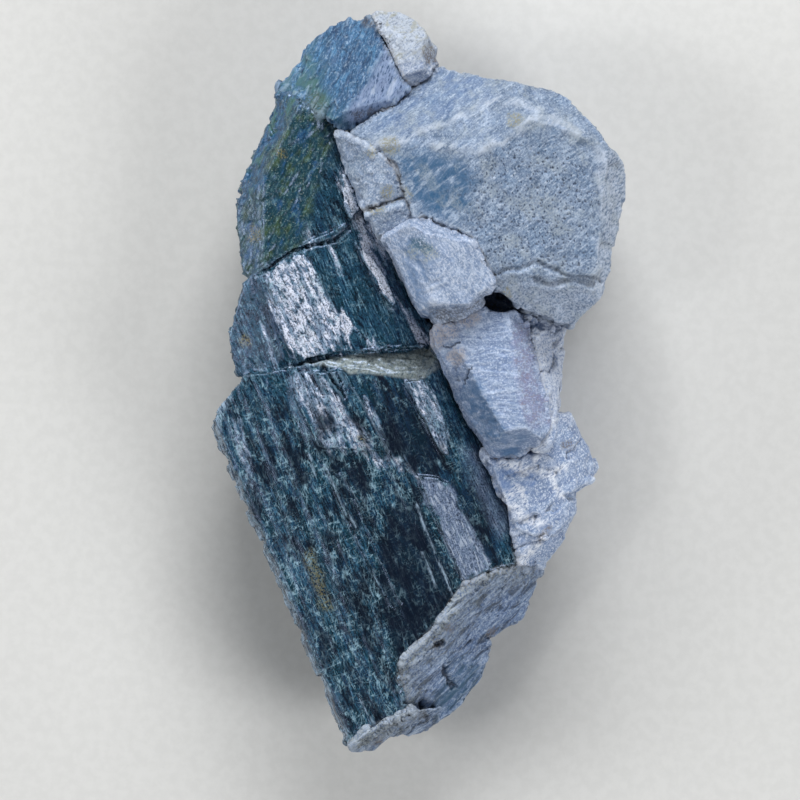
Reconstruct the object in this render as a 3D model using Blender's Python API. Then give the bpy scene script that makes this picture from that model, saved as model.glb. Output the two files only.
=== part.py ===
"""Hydroxylapatite specimen: a dark striated prism with grey crystals and pale matrix along its right side.

It lies on its back. +Z points out of the display face, +Y to the capped end, and +X to the large crystal.
Every crystal is a convex block inside flat facets. A facet is three points, in millimetres, on its plane,
and an outline runs clockwise as seen from the front. A thin seam parts each piece from its neighbours.
"""

import math

import bmesh
import bpy
from mathutils import Vector

for old in list(bpy.data.objects):
    bpy.data.objects.remove(old, do_unlink=True)

MM = 0.001
SEAM = 0.3
SIDE_LEAN = 1.5
BACK_LEAN = 32.0
STOCK = 400.0
CRACK_WIDTH = 0.5
CRACK_DEPTH = 2.4
PLATE_ROOT = 2.5
BLADE_LEFT = -27.25
BLADE_RIGHT = 3.9
BLADE_FRONT = 21.5

# The prism's c-axis runs down and to the right across the display face, and ACROSS is square to it.
C_AXIS = Vector((0.39, -0.92, 0.0)).normalized()
ACROSS = Vector((0.92, 0.39, 0.0)).normalized()


def level(height):
    """Facet square to the viewing direction."""
    return ((0.0, 0.0, height), (10.0, 0.0, height), (0.0, 10.0, height))


def along_axis(left, right):
    """Facet parallel to the c-axis, through two (across, height) points of the prism's cross-section."""
    a, b = (ACROSS * across + Vector((0.0, 0.0, height)) for across, height in (left, right))
    return (a, b, a + C_AXIS * 10.0)


def facet_normal(facet):
    a, b, c = (Vector(corner) for corner in facet)
    return (b - a).cross(c - a).normalized()


def front_height(fronts, x, y):
    """Height of the surface that the front facets make together above (x, y)."""
    heights = []
    for facet in fronts:
        corner, normal = Vector(facet[0]), facet_normal(facet)
        heights.append(corner.z - (normal.x * (x - corner.x) + normal.y * (y - corner.y)) / normal.z)
    return min(heights)


def sides(outline, heights, lean):
    """Side facets: each holds one side of the outline, at its corners' heights, and leans in below it."""
    facets = []
    drop = 10.0
    run = drop * math.tan(math.radians(lean))
    corners = [Vector((*corner, height)) for corner, height in zip(outline, heights)]
    for start, end in zip(corners, corners[1:] + corners[:1]):
        inward = Vector((end.y - start.y, start.x - end.x, 0.0)).normalized() * run
        facets.append((start, end, start + inward - Vector((0.0, 0.0, drop))))
    return facets


class Block:
    """One convex crystal or lump. Its sides stand almost upright, and taper to the back below its waist."""

    def __init__(self, outline, fronts, backs, waist=None):
        centre = [sum(axis) / len(outline) for axis in zip(*outline)]
        tops = [front_height(fronts, *corner) for corner in outline]
        self.middle = Vector((*centre, front_height(fronts, *centre) - 0.5))
        self.outline = outline
        self.fronts = list(fronts)
        self.others = sides(outline, tops, SIDE_LEAN) + list(backs)
        if waist is not None:
            self.others += sides(outline, [waist] * len(outline), BACK_LEAN)

    def solid(self, name):
        return self.cut_stock(name, self.fronts + self.others, 0.0)

    def room(self, name):
        """The space that the block and its seam keep free, open towards the viewer."""
        return self.cut_stock(name, self.others, SEAM)

    def cut_stock(self, name, facets, grow):
        """A big cube cut off along every facet, each moved out by grow millimetres."""
        stock = bmesh.new()
        bmesh.ops.create_cube(stock, size=STOCK * MM)
        for facet in facets:
            normal = facet_normal(facet)
            if normal.dot(self.middle - Vector(facet[0])) > 0:
                normal.negate()
            point = (Vector(facet[0]) + normal * grow) * MM
            everything = stock.verts[:] + stock.edges[:] + stock.faces[:]
            cut = bmesh.ops.bisect_plane(
                stock, geom=everything, plane_co=point, plane_no=normal, clear_outer=True
            )
            rim = [part for part in cut["geom_cut"] if isinstance(part, bmesh.types.BMEdge)]
            if rim:
                bmesh.ops.contextual_create(stock, geom=rim)
        bmesh.ops.recalc_face_normals(stock, faces=stock.faces[:])
        mesh = bpy.data.meshes.new(name)
        stock.to_mesh(mesh)
        stock.free()
        return mesh


def place(name, mesh):
    obj = bpy.data.objects.new(name, mesh)
    bpy.context.scene.collection.objects.link(obj)
    return obj


def helper(name, mesh):
    obj = place(name, mesh)
    obj.hide_render = True
    obj.display_type = "WIRE"
    return obj


def boolean(obj, operation, other):
    modifier = obj.modifiers.new(f"{operation.lower()} {other.name}", "BOOLEAN")
    modifier.solver = "EXACT"
    modifier.operation = operation
    modifier.object = other


def mineral(name, colour, roughness):
    """Plain stone material in the piece's main colour."""
    material = bpy.data.materials.new(name)
    material.use_nodes = True
    shader = material.node_tree.nodes["Principled BSDF"]
    shader.inputs["Base Color"].default_value = (*colour, 1.0)
    shader.inputs["Roughness"].default_value = roughness
    shader.inputs["Metallic"].default_value = 0.0
    return material


grown = []


def grow_piece(name, blocks, material):
    """Joins the blocks into one solid and leaves a thin seam round every piece that grew before it."""
    piece = place(name, blocks[0].solid(name))
    piece.data.materials.append(material)
    for number, block in enumerate(blocks[1:], 2):
        boolean(piece, "UNION", helper(f"{name}_block_{number}", block.solid(f"{name}_block_{number}")))
    for other in grown:
        boolean(piece, "DIFFERENCE", other)
    for number, block in enumerate(blocks, 1):
        room = f"{name}_room_{number}"
        grown.append(helper(room, block.room(room)))
    return piece


def crack(name, route, front):
    """Wedge along a crack's route: open at the front and closing to a line CRACK_DEPTH below it."""
    wedge = bmesh.new()
    rings = []
    for number, (x, y) in enumerate(route):
        ahead = Vector(route[min(number + 1, len(route) - 1)])
        behind = Vector(route[max(number - 1, 0)])
        along = (ahead - behind).normalized()
        half = Vector((-along.y, along.x, 0.0)) * CRACK_WIDTH
        mouth = Vector((x, y, front + CRACK_DEPTH))
        root = Vector((x, y, front - CRACK_DEPTH))
        rings.append([wedge.verts.new(point * MM) for point in (mouth - half, mouth + half, root)])
    for first, second in zip(rings, rings[1:]):
        for side in range(3):
            wedge.faces.new((first[side], first[side - 1], second[side - 1], second[side]))
    wedge.faces.new(rings[0])
    wedge.faces.new(rings[-1][::-1])
    bmesh.ops.recalc_face_normals(wedge, faces=wedge.faces[:])
    mesh = bpy.data.meshes.new(name)
    wedge.to_mesh(mesh)
    wedge.free()
    return helper(name, mesh)


GREY_APATITE = mineral("grey apatite", (0.30, 0.34, 0.42), 0.6)
BLUE_APATITE = mineral("blue-grey apatite", (0.20, 0.27, 0.36), 0.6)
DARK_APATITE = mineral("dark striated apatite", (0.035, 0.07, 0.09), 0.3)
CREAM_CRUST = mineral("cream weathered crust", (0.55, 0.54, 0.48), 0.8)
PALE_MATRIX = mineral("pale matrix", (0.42, 0.44, 0.50), 0.8)
BROKEN_LEDGE = mineral("broken grey-green ledge", (0.22, 0.26, 0.30), 0.7)
RESTING_FACE = level(0.0)

# Middle crystal: a stubby prism that stands furthest out, with a bright face and a blue left face.
MIDDLE_EDGE_TOP = (1.3, 16.0, 30.6)
MIDDLE_EDGE_FOOT = (2.2, 9.9, 30.0)
MIDDLE_LOWER_CORNER = (6.5, 9.9, 30.0)
MIDDLE_RIGHT_CORNER = (9.4, 12.4, 30.2)
middle_block = Block(
    [(-4.4, 18.5), (-1.2, 20.3), (1.2, 21.0), (3.9, 20.0), (6.2, 18.9), (7.2, 17.8), (9.8, 13.0), (8.0, 9.8),
     (4.2, 7.8), (2.8, 7.7), (0.4, 8.7)],
    [
        (MIDDLE_EDGE_TOP, MIDDLE_EDGE_FOOT, (8.0, 14.0, 30.3)),
        (MIDDLE_EDGE_TOP, MIDDLE_EDGE_FOOT, (-3.5, 16.5, 26.6)),
        (MIDDLE_EDGE_FOOT, MIDDLE_LOWER_CORNER, (4.2, 7.9, 25.8)),
        (MIDDLE_LOWER_CORNER, MIDDLE_RIGHT_CORNER, (8.8, 10.2, 26.5)),
        ((-0.5, 20.2, 29.6), (4.5, 18.6, 30.4), (1.8, 20.8, 27.6)),
    ],
    [level(11.0)],
    20.0,
)
grow_piece("middle_crystal", [middle_block], GREY_APATITE)

# Two small blocks between the prism and the large crystal.
lower_block = Block(
    [(-6.7, 22.0), (-1.6, 23.9), (-0.7, 21.8), (-1.2, 20.2), (-4.6, 18.5)],
    [
        ((-5.0, 21.5, 25.4), (-1.5, 22.0, 26.4), (-3.0, 19.5, 25.2)),
        ((-5.4, 22.0, 25.2), (-1.6, 23.3, 26.2), (-3.4, 23.6, 24.8)),
    ],
    [level(13.0)],
    18.0,
)
grow_piece("lower_block_crystal", [lower_block], GREY_APATITE)
upper_block = Block(
    [(-10.5, 32.3), (-8.8, 31.6), (-5.5, 29.7), (-3.1, 27.8), (-1.5, 24.0), (-6.6, 22.2), (-8.6, 26.5)],
    [
        ((-6.5, 28.3, 26.0), (-3.0, 26.5, 26.4), (-4.5, 23.3, 25.4)),
        ((-7.2, 29.4, 25.6), (-6.2, 23.5, 25.2), (-9.8, 31.0, 22.6)),
    ],
    [level(13.0)],
    18.0,
)
grow_piece("upper_block_crystal", [upper_block], GREY_APATITE)

# Lower crystal: it leans out towards its lower end, over a dark hollow, and has a low shoulder.
LOWER_RIDGE_TOP = (6.6, 1.8, 26.5)
LOWER_NOSE_LEFT = (11.2, -6.6, 28.0)
LOWER_NOSE_RIGHT = (14.3, -6.4, 28.0)
lower_crystal_block = Block(
    [(1.9, 6.4), (8.0, 9.2), (12.5, 8.7), (14.2, 7.2), (17.0, -5.5), (15.5, -8.2), (11.7, -10.2), (9.6, -9.2),
     (6.4, -4.6), (2.2, 5.0)],
    [
        ((3.0, 5.5, 25.3), (12.2, 7.5, 26.4), LOWER_NOSE_LEFT),
        (LOWER_RIDGE_TOP, LOWER_NOSE_LEFT, (7.0, -4.6, 22.6)),
        ((12.3, 6.0, 26.5), LOWER_NOSE_RIGHT, (16.8, -1.0, 22.5)),
        (LOWER_NOSE_LEFT, LOWER_NOSE_RIGHT, (12.5, -10.0, 21.5)),
    ],
    [level(12.0)],
    19.0,
)
lower_crystal_shoulder = Block(
    [(1.9, 6.4), (3.3, 7.6), (7.8, 9.0), (8.4, 4.0), (6.6, -0.6), (5.4, -1.4), (2.2, 4.6)],
    [
        ((2.4, 5.6, 24.4), (6.0, 7.6, 25.2), (5.6, 0.0, 24.2)),
        ((5.0, 3.0, 24.6), (7.6, 6.0, 25.4), (7.4, 0.5, 23.0)),
    ],
    [level(12.0)],
    19.0,
)
grow_piece("lower_crystal", [lower_crystal_block, lower_crystal_shoulder], GREY_APATITE)

# Large crystal: a broad face, a blue face to its left, two upper faces, and a lower face past a groove.
FACE_LEFT = (8.0, 29.8, 30.0)
FACE_TOP = (14.5, 33.8, 29.7)
FACE_RIGHT = (22.3, 31.4, 29.2)
FACE_FOOT = (22.0, 13.0, 28.7)
RIDGE_LEFT = (-4.0, 30.8, 26.1)
RIDGE_RIGHT = (13.0, 36.3, 28.0)
large_block = Block(
    [(-8.3, 31.9), (2.2, 40.3), (3.1, 40.5), (12.0, 38.8), (18.6, 37.3), (21.2, 35.0), (26.3, 28.3),
     (27.0, 26.4), (27.0, 23.8), (24.3, 11.6), (20.2, 6.9), (13.5, 9.2), (-5.4, 25.5)],
    [
        (FACE_LEFT, FACE_TOP, FACE_FOOT),
        (FACE_LEFT, (6.0, 20.0, 29.8), (-2.8, 27.5, 26.6)),
        (FACE_LEFT, FACE_TOP, RIDGE_LEFT),
        (RIDGE_LEFT, RIDGE_RIGHT, (5.0, 40.3, 20.8)),
        (FACE_TOP, FACE_RIGHT, (18.4, 37.3, 25.6)),
        ((24.4, 27.0, 28.9), (23.4, 16.0, 28.5), (26.8, 25.0, 25.0)),
        ((10.5, 13.6, 29.4), (23.9, 13.3, 28.5), (18.0, 7.4, 26.2)),
    ],
    [
        RESTING_FACE,
        ((4.0, 26.0, 0.0), (12.0, 33.0, 0.0), (0.0, 36.0, 9.0)),
        ((12.0, 33.0, 0.0), (19.0, 26.0, 0.0), (24.0, 34.0, 8.0)),
    ],
    10.0,
)
grow_piece("large_crystal", [large_block], GREY_APATITE)

# Cap: a small rough knob at the very top.
cap_block = Block(
    [(-5.7, 47.6), (-2.5, 48.2), (-0.1, 46.7), (2.6, 43.4), (2.1, 40.2), (0.2, 38.0), (-0.7, 37.7),
     (-4.2, 44.3)],
    [
        ((-3.6, 45.0, 22.2), (0.8, 42.5, 21.8), (-1.2, 39.5, 22.6)),
        ((-4.2, 46.0, 21.8), (0.0, 44.5, 21.6), (-1.8, 48.0, 17.2)),
        ((0.6, 44.0, 21.6), (1.0, 40.5, 21.8), (2.6, 42.6, 17.8)),
        ((-1.6, 39.6, 22.5), (0.8, 40.4, 22.0), (0.2, 38.2, 19.8)),
    ],
    [level(7.0)],
    13.0,
)
grow_piece("cap_crystal", [cap_block], CREAM_CRUST)

# Top crystal: a smooth face low on its right, and a striated blue face that falls away to the left.
TOP_EDGE_FOOT = (-9.4, 34.9, 23.6)
TOP_EDGE_HEAD = (-4.4, 44.0, 22.4)
top_block = Block(
    [(-9.8, 33.0), (-17.6, 37.8), (-17.2, 39.4), (-14.2, 43.9), (-10.1, 47.1), (-5.6, 47.1), (-4.0, 44.3),
     (-0.7, 37.5), (-6.3, 33.0)],
    [
        (TOP_EDGE_FOOT, TOP_EDGE_HEAD, (-1.2, 37.6, 22.0)),
        (TOP_EDGE_FOOT, TOP_EDGE_HEAD, (-14.6, 42.0, 17.2)),
        ((-12.0, 40.5, 19.8), (-6.5, 44.8, 21.0), (-10.2, 46.8, 16.5)),
        ((-9.0, 35.0, 23.4), (-3.0, 36.6, 22.2), (-6.6, 33.2, 20.6)),
    ],
    [level(4.0)],
    12.0,
)
grow_piece("top_crystal", [top_block], BLUE_APATITE)

# Broken ledge along the lower right of the prism, from a raised crest down to the outline.
ledge_blocks = [
    Block(
        [(2.0, -32.6), (5.0, -28.3), (6.3, -26.5), (10.2, -24.8), (13.0, -24.1), (15.8, -25.0), (15.3, -26.8),
         (13.7, -31.0), (10.0, -33.3), (4.0, -34.5)],
        [
            level(22.3),
            ((2.0, -32.6, 22.2), (8.5, -25.6, 22.2), (9.5, -31.5, 16.8)),
            ((6.5, -34.0, 17.2), (13.0, -26.5, 17.0), (13.6, -30.6, 12.5)),
        ],
        [RESTING_FACE],
        7.0,
    ),
    Block(
        [(-2.2, -37.0), (-1.7, -36.2), (2.0, -32.6), (6.0, -30.5), (9.4, -34.2), (8.6, -38.3), (5.6, -42.3),
         (2.5, -44.8), (-1.2, -43.2), (-2.2, -39.0)],
        [
            level(22.3),
            ((-1.7, -36.2, 22.4), (2.0, -32.6, 22.0), (4.0, -37.5, 17.6)),
            ((-2.2, -41.5, 22.0), (4.0, -37.0, 17.8), (6.8, -40.4, 12.6)),
            ((4.2, -36.0, 17.8), (7.4, -32.4, 17.4), (8.4, -37.6, 12.0)),
        ],
        [RESTING_FACE],
        7.0,
    ),
    Block(
        [(-4.3, -44.6), (-1.2, -43.2), (3.0, -42.6), (2.7, -44.6), (0.2, -46.0), (-3.4, -46.3)],
        [level(22.3), ((-4.3, -44.6, 22.2), (0.8, -43.2, 20.0), (-1.0, -46.0, 14.5))],
        [level(3.0)],
        9.0,
    ),
    Block(
        [(-8.6, -47.6), (-6.5, -45.6), (-4.3, -44.6), (-2.4, -44.0), (-3.4, -46.2), (-6.0, -48.42),
         (-8.3, -48.1)],
        [level(22.3), ((-8.6, -47.6, 22.0), (-4.3, -44.6, 22.2), (-5.6, -48.0, 15.5))],
        [level(4.0)],
        10.0,
    ),
]
grow_piece("foot_ledge", ledge_blocks, BROKEN_LEDGE)

# The prism: an upper, a middle and a lower length, parted by two cracks that don't go right through.
RIM_LEFT = along_axis((BLADE_LEFT, BLADE_FRONT - 4.0), (BLADE_LEFT + 0.9, BLADE_FRONT - 1.2))
BACK_LEFT = along_axis((BLADE_LEFT, 10.0), (-17.0, 0.0))
BACK_RIGHT = along_axis((-4.0, 0.0), (BLADE_RIGHT, 4.0))
lower_length = Block(
    [(-22.2, 0.9), (-8.0, 3.8), (1.8, 4.8), (3.8, 1.7), (12.3, -18.3), (12.8, -24.0), (-2.5, -44.5),
     (-8.7, -47.7), (-9.7, -46.5), (-27.0, -6.3), (-25.6, -3.2)],
    [
        along_axis((BLADE_LEFT + 0.9, BLADE_FRONT - 1.2), (-17.0, BLADE_FRONT - 0.2)),
        along_axis((-17.0, BLADE_FRONT - 0.2), (-4.0, BLADE_FRONT)),
        along_axis((-4.0, BLADE_FRONT), (1.5, BLADE_FRONT - 0.6)),
        along_axis((1.5, BLADE_FRONT - 0.6), (BLADE_RIGHT, BLADE_FRONT - 2.2)),
        RIM_LEFT,
    ],
    [RESTING_FACE, BACK_LEFT, BACK_RIGHT],
)
middle_length = Block(
    [(-21.5, 13.9), (-16.0, 17.3), (-7.0, 21.4), (-3.7, 16.3), (1.9, 5.9), (1.6, 4.1), (-23.6, 0.4),
     (-24.1, 2.0), (-24.8, 5.6), (-22.7, 12.6)],
    [
        along_axis((-14.0, 20.6), (-6.0, 20.9)),
        along_axis((-6.0, 20.9), (0.5, 20.2)),
        along_axis((0.5, 20.2), (BLADE_RIGHT, 18.8)),
        ((-19.8, 13.0, 20.4), (-17.6, 3.0, 20.5), (-24.0, 6.0, 17.8)),
    ],
    [RESTING_FACE, BACK_RIGHT, ((-14.0, 20.0, 0.0), (-16.0, 0.0, 0.0), (-24.0, 8.0, 9.0))],
)
upper_length = Block(
    [(-10.3, 32.9), (-6.6, 21.2), (-9.8, 18.8), (-21.5, 13.3), (-22.7, 13.6), (-23.9, 21.5), (-23.3, 25.5),
     (-21.0, 30.5), (-17.6, 37.5)],
    [
        ((-9.0, 28.0, 20.8), (-15.0, 32.0, 21.4), (-17.0, 18.0, 20.2)),
        ((-16.2, 34.5, 21.4), (-21.0, 25.5, 20.0), (-23.1, 26.6, 16.4)),
        ((-21.0, 25.5, 20.0), (-20.6, 16.0, 19.6), (-23.7, 20.5, 17.0)),
        ((-12.6, 29.0, 21.1), (-10.4, 20.5, 20.6), (-7.8, 25.0, 19.4)),
    ],
    [RESTING_FACE, ((-12.0, 30.0, 0.0), (-14.0, 14.0, 0.0), (-23.0, 22.0, 9.0))],
)


def plate(outline, left, right):
    """Cleavage plate on the prism's front, its face through two (across, height) points."""
    face = along_axis(left, right)
    return Block(outline, [face], [level(min(left[1], right[1]) - PLATE_ROOT)])


plates = [
    plate(
        [(-19.5, 13.2), (-18.0, 15.8), (-14.8, 16.5), (-13.9, 15.4), (-10.2, 8.8), (-9.6, 3.9), (-15.4, 2.6),
         (-17.0, 4.5)],
        (-14.0, 21.0),
        (-6.0, 21.7),
    ),
    plate(
        [(-8.1, 18.0), (-5.8, 16.0), (-4.0, 13.4), (-2.7, 9.8), (-3.4, 9.4), (-7.1, 15.4)],
        (-1.0, 21.4),
        (1.6, 21.1),
    ),
    plate([(-10.3, 26.4), (-9.4, 26.5), (-7.8, 22.4), (-8.6, 20.9), (-9.6, 23.2)], (-0.4, 21.5), (1.8, 21.2)),
    plate(
        [(-16.2, 0.9), (-9.8, 1.4), (-6.6, -3.5), (-3.6, -9.3), (-8.0, -9.1), (-12.8, -8.7), (-16.0, -2.0)],
        (-15.0, 22.3),
        (-7.0, 22.2),
    ),
    plate(
        [(-1.7, -0.2), (0.8, 0.2), (2.5, -2.0), (3.5, -4.5), (4.2, -9.9), (3.0, -9.5), (-0.3, -3.2)],
        (-2.0, 22.3),
        (1.5, 21.9),
    ),
    plate(
        [(0.0, -12.4), (2.2, -12.6), (4.2, -13.5), (7.0, -19.0), (9.5, -24.4), (6.2, -26.4), (2.4, -18.0)],
        (-5.0, 22.1),
        (0.5, 21.7),
    ),
    plate(
        [(-12.4, -10.6), (-9.4, -12.6), (-2.0, -29.0), (-3.4, -30.0), (-8.6, -19.4)],
        (-15.6, 22.0),
        (-12.0, 21.8),
    ),
]
UPPER_CRACK = [(-21.6, 13.4), (-19.5, 14.6), (-16.0, 17.0), (-13.8, 17.6), (-10.6, 18.3), (-8.9, 20.0),
               (-8.4, 20.9), (-6.2, 21.7)]
LOWER_CRACK = [(-25.0, 0.6), (-20.7, 1.2), (-16.0, 1.9), (-13.2, 2.8), (-9.7, 3.5), (-3.7, 3.4), (0.0, 3.9),
               (2.4, 4.9)]
UPPER_CRACK_FRONT = 20.6
LOWER_CRACK_FRONT = 20.4
blade = grow_piece("blade_crystal", [lower_length, middle_length, upper_length], DARK_APATITE)
for number, block in enumerate(plates, 1):
    boolean(blade, "UNION", helper(f"cleavage_plate_{number}", block.solid(f"cleavage_plate_{number}")))

# The lower crack opens on a sloping ledge, where the lower length stands in front of the middle one.
ledge_slope = ((-9.0, 1.2, 21.9), (1.2, 0.3, 21.7), (-4.0, 3.5, 19.0))
ledge_cut = Block(
    [(-13.0, 2.4), (-9.7, 3.7), (1.8, 4.7), (3.6, 2.2), (1.6, 0.3), (-4.0, 0.6), (-9.0, 1.0)],
    [level(26.0)],
    [ledge_slope],
)
boolean(blade, "DIFFERENCE", helper("ledge_cut", ledge_cut.solid("ledge_cut")))
boolean(blade, "DIFFERENCE", crack("upper_crack", UPPER_CRACK, UPPER_CRACK_FRONT))
boolean(blade, "DIFFERENCE", crack("lower_crack", LOWER_CRACK, LOWER_CRACK_FRONT))

# Matrix: what the crystals of the right side grow on. It fills the room behind them and shows as lumps.
matrix_blocks = [
    Block(
        [(-1.0, 9.0), (8.0, 11.0), (14.0, 8.5), (19.0, 5.0), (18.0, -10.0), (12.0, -16.0), (5.0, -14.0)],
        [level(13.5)],
        [RESTING_FACE],
    ),
    Block([(-9.6, 31.0), (-3.0, 30.0), (12.0, 12.0), (14.0, 6.0), (3.0, 4.0)], [level(15.0)], [level(2.0)]),
    Block(
        [(12.0, 8.3), (13.6, 8.2), (19.1, 6.7), (18.9, 3.6), (18.2, -2.0), (17.0, -9.0), (13.0, -9.0)],
        [
            ((14.2, 6.5, 24.0), (17.0, -6.5, 23.0), (19.2, 4.0, 18.6)),
            ((13.0, 6.8, 24.4), (18.5, 5.6, 20.6), (16.0, 8.0, 17.5)),
            level(23.5),
        ],
        [level(3.0)],
        12.0,
    ),
    Block(
        [(16.0, -5.0), (17.6, -4.1), (19.6, -4.3), (21.3, -7.0), (23.5, -11.4), (22.9, -12.8), (20.4, -14.6),
         (15.0, -15.0)],
        [
            ((17.0, -6.0, 20.4), (19.0, -13.0, 19.8), (21.0, -9.0, 18.2)),
            ((19.8, -6.0, 18.8), (21.2, -12.6, 18.0), (23.2, -10.6, 14.5)),
            level(21.0),
        ],
        [level(3.0)],
        11.0,
    ),
    Block(
        [(8.4, -9.2), (15.0, -8.6), (19.4, -12.0), (20.6, -15.0), (20.7, -17.2), (17.0, -21.0), (12.3, -19.0),
         (9.0, -12.6)],
        [
            ((10.0, -11.0, 22.4), (13.0, -18.0, 21.4), (18.0, -12.5, 21.0)),
            ((17.0, -10.0, 21.6), (18.6, -16.5, 20.4), (20.6, -15.8, 17.2)),
            ((11.0, -10.6, 22.4), (17.0, -9.8, 21.6), (13.0, -8.6, 19.5)),
        ],
        [RESTING_FACE],
        10.0,
    ),
    Block(
        [(11.5, -16.5), (20.2, -17.8), (18.4, -21.4), (16.2, -24.2), (10.5, -23.8)],
        [
            ((13.2, -23.6, 19.8), (15.8, -20.0, 20.0), (18.0, -21.2, 17.0)),
            ((11.0, -22.5, 20.6), (14.8, -19.0, 20.6), (13.2, -23.6, 19.8)),
            level(20.8),
        ],
        [level(2.0)],
        10.0,
    ),
]
grow_piece("matrix", matrix_blocks, PALE_MATRIX)
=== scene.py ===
import math
import bpy
import numpy as np
from mathutils.bvhtree import BVHTree
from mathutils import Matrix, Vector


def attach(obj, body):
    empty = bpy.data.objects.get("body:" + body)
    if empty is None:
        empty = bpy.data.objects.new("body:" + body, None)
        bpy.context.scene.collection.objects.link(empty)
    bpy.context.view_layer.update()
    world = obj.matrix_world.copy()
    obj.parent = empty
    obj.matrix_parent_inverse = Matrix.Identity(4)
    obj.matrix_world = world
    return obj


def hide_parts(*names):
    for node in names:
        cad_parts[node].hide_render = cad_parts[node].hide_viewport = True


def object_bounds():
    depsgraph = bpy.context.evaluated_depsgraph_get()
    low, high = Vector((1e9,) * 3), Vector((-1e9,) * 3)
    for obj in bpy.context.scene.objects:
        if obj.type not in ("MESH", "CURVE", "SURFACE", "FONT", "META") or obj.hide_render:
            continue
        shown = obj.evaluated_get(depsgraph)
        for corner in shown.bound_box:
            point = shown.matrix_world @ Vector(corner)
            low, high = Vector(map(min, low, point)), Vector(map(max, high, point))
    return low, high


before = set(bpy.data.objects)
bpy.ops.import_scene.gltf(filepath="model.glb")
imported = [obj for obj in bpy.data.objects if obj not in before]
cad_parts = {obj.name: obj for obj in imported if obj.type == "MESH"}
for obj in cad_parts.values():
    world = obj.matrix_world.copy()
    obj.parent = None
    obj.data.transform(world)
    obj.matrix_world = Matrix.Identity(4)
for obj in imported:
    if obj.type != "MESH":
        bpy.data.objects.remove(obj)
solid_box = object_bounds()

# All sizes below are millimetres in the frame of the solids: +Z out of the display face, +Y to the capped
# end. A way is a direction in the plan, in degrees from +X, and an outline or a route is (x, y) points.

# The prism: one flat crystal of blue-green apatite, split along its cleavage into long thin plates.
# Its surface is glassy where a plate broke clean, and scuffed with fine pale scratches where it was
# handled. Two natural cracks cross it, and the lower one opens on a sloping grey-green ledge.

MM = 0.001
PRISM_WAY = -67.0
SCALY_WAY = 62.0
PRISM_VOXEL = 0.208


def linear(code):
    """Linear light from an sRGB hex colour."""
    channels = [int(code[i : i + 2], 16) / 255 for i in (1, 3, 5)]
    return tuple(c / 12.92 if c <= 0.04045 else ((c + 0.055) / 1.055) ** 2.4 for c in channels) + (1.0,)


def add(tree, kind, settings=None):
    """A node with its settings and links. A key is a socket's name or number, or a property of the node,
    and a value that is another node's output is linked."""
    node = tree.nodes.new(kind)
    for key, value in (settings or {}).items():
        if isinstance(value, bpy.types.NodeSocket):
            tree.links.new(value, node.inputs[key])
        elif isinstance(key, int) or key in node.inputs:
            node.inputs[key].default_value = value
        else:
            setattr(node, key, value)
    return node


def chance(cells, seed):
    """A number from 0 to 1 for each whole-number cell, always the same for the same seed. The large odd
    numbers only scramble the bits."""
    n = cells[:, 0] * 73856093 ^ cells[:, 1] * 19349663 ^ cells[:, 2] * 83492791 ^ (seed + 1) * 2654435761
    n &= 0xFFFFFFFF
    n = (n ^ n >> 15) * 2246822519 & 0xFFFFFFFF
    n = (n ^ n >> 13) * 3266489917 & 0xFFFFFFFF
    return (n ^ n >> 16) / 0xFFFFFFFF


def noise(points, size, seed):
    """Smooth noise from -1 to 1 whose bumps are size mm across; size may be one number or three."""
    scaled = points / np.asarray(size, float)
    cell = np.floor(scaled).astype(np.int64)
    part = scaled - cell
    part = part * part * (3 - 2 * part)
    total = np.zeros(len(points))
    for corner in range(8):
        offset = np.array([corner & 1, corner >> 1 & 1, corner >> 2 & 1])
        share = np.prod(np.where(offset == 1, part, 1 - part), axis=1)
        total += share * chance(cell + offset, seed)
    return total * 2 - 1


def rough(points, size, seed, octaves=4):
    """Noise with ever finer and weaker noise on top, brought back to about -1 to 1."""
    size = np.asarray(size, float)
    return sum(noise(points, size / 2**k, seed + k) / 2**k for k in range(octaves)) / 1.8


def flakes(points, size, seed):
    """Scattered flat chips: for each point the offset from its chip's middle, in chips, and three numbers
    from 0 to 1 that its whole chip shares."""
    scaled = points / np.asarray(size, float)
    cell = np.floor(scaled).astype(np.int64)
    best = np.full(len(points), 1e9)
    offset = np.zeros_like(scaled)
    numbers = np.zeros_like(scaled)
    for step in np.ndindex(3, 3, 3):
        near = cell + np.array(step) - 1
        draws = np.stack([chance(near, seed + axis) for axis in range(3)], axis=1)
        away = scaled - near - draws
        far = (away**2).sum(axis=1)
        closer = far < best
        best[closer] = far[closer]
        offset[closer] = away[closer]
        numbers[closer] = draws[closer]
    return offset, numbers


def hackly(points, size, seed, slope=0.35):
    """Broken surface of small flat chips, each with its own tilt and height; about -1 to 1."""
    offset, numbers = flakes(points, size, seed)
    tilt = (numbers[:, [1, 2, 0]] - 0.5) * 2 * slope
    return (offset * tilt).sum(axis=1) + (numbers[:, 0] - 0.5) * 0.5


def turned(points, way):
    """Coordinates across and along a way in the plan, in degrees from +X, and height."""
    c, s = math.cos(math.radians(way)), math.sin(math.radians(way))
    x, y, z = points.T
    return np.stack([y * c - x * s, x * c + y * s, z], axis=1)


def shaken(points, size, amount, seed):
    """Points moved about in the plan by noise, which gives a mask drawn on them a ragged edge."""
    moved = points.copy()
    moved[:, 0] += rough(points, size, seed, 3) * amount
    moved[:, 1] += rough(points, size, seed + 7, 3) * amount
    return moved


def reach(points, *routes):
    """Distance in the plan from the nearest of some routes of (x, y) points."""
    nearest = np.full(len(points), 1e9)
    for route in routes:
        for start, end in zip(np.array(route[:-1], float), np.array(route[1:], float)):
            step = end - start
            share = np.clip(((points[:, :2] - start) @ step) / (step @ step), 0, 1)
            gap = np.linalg.norm(points[:, :2] - start - share[:, None] * step, axis=1)
            nearest = np.minimum(nearest, gap)
    return nearest


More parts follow.
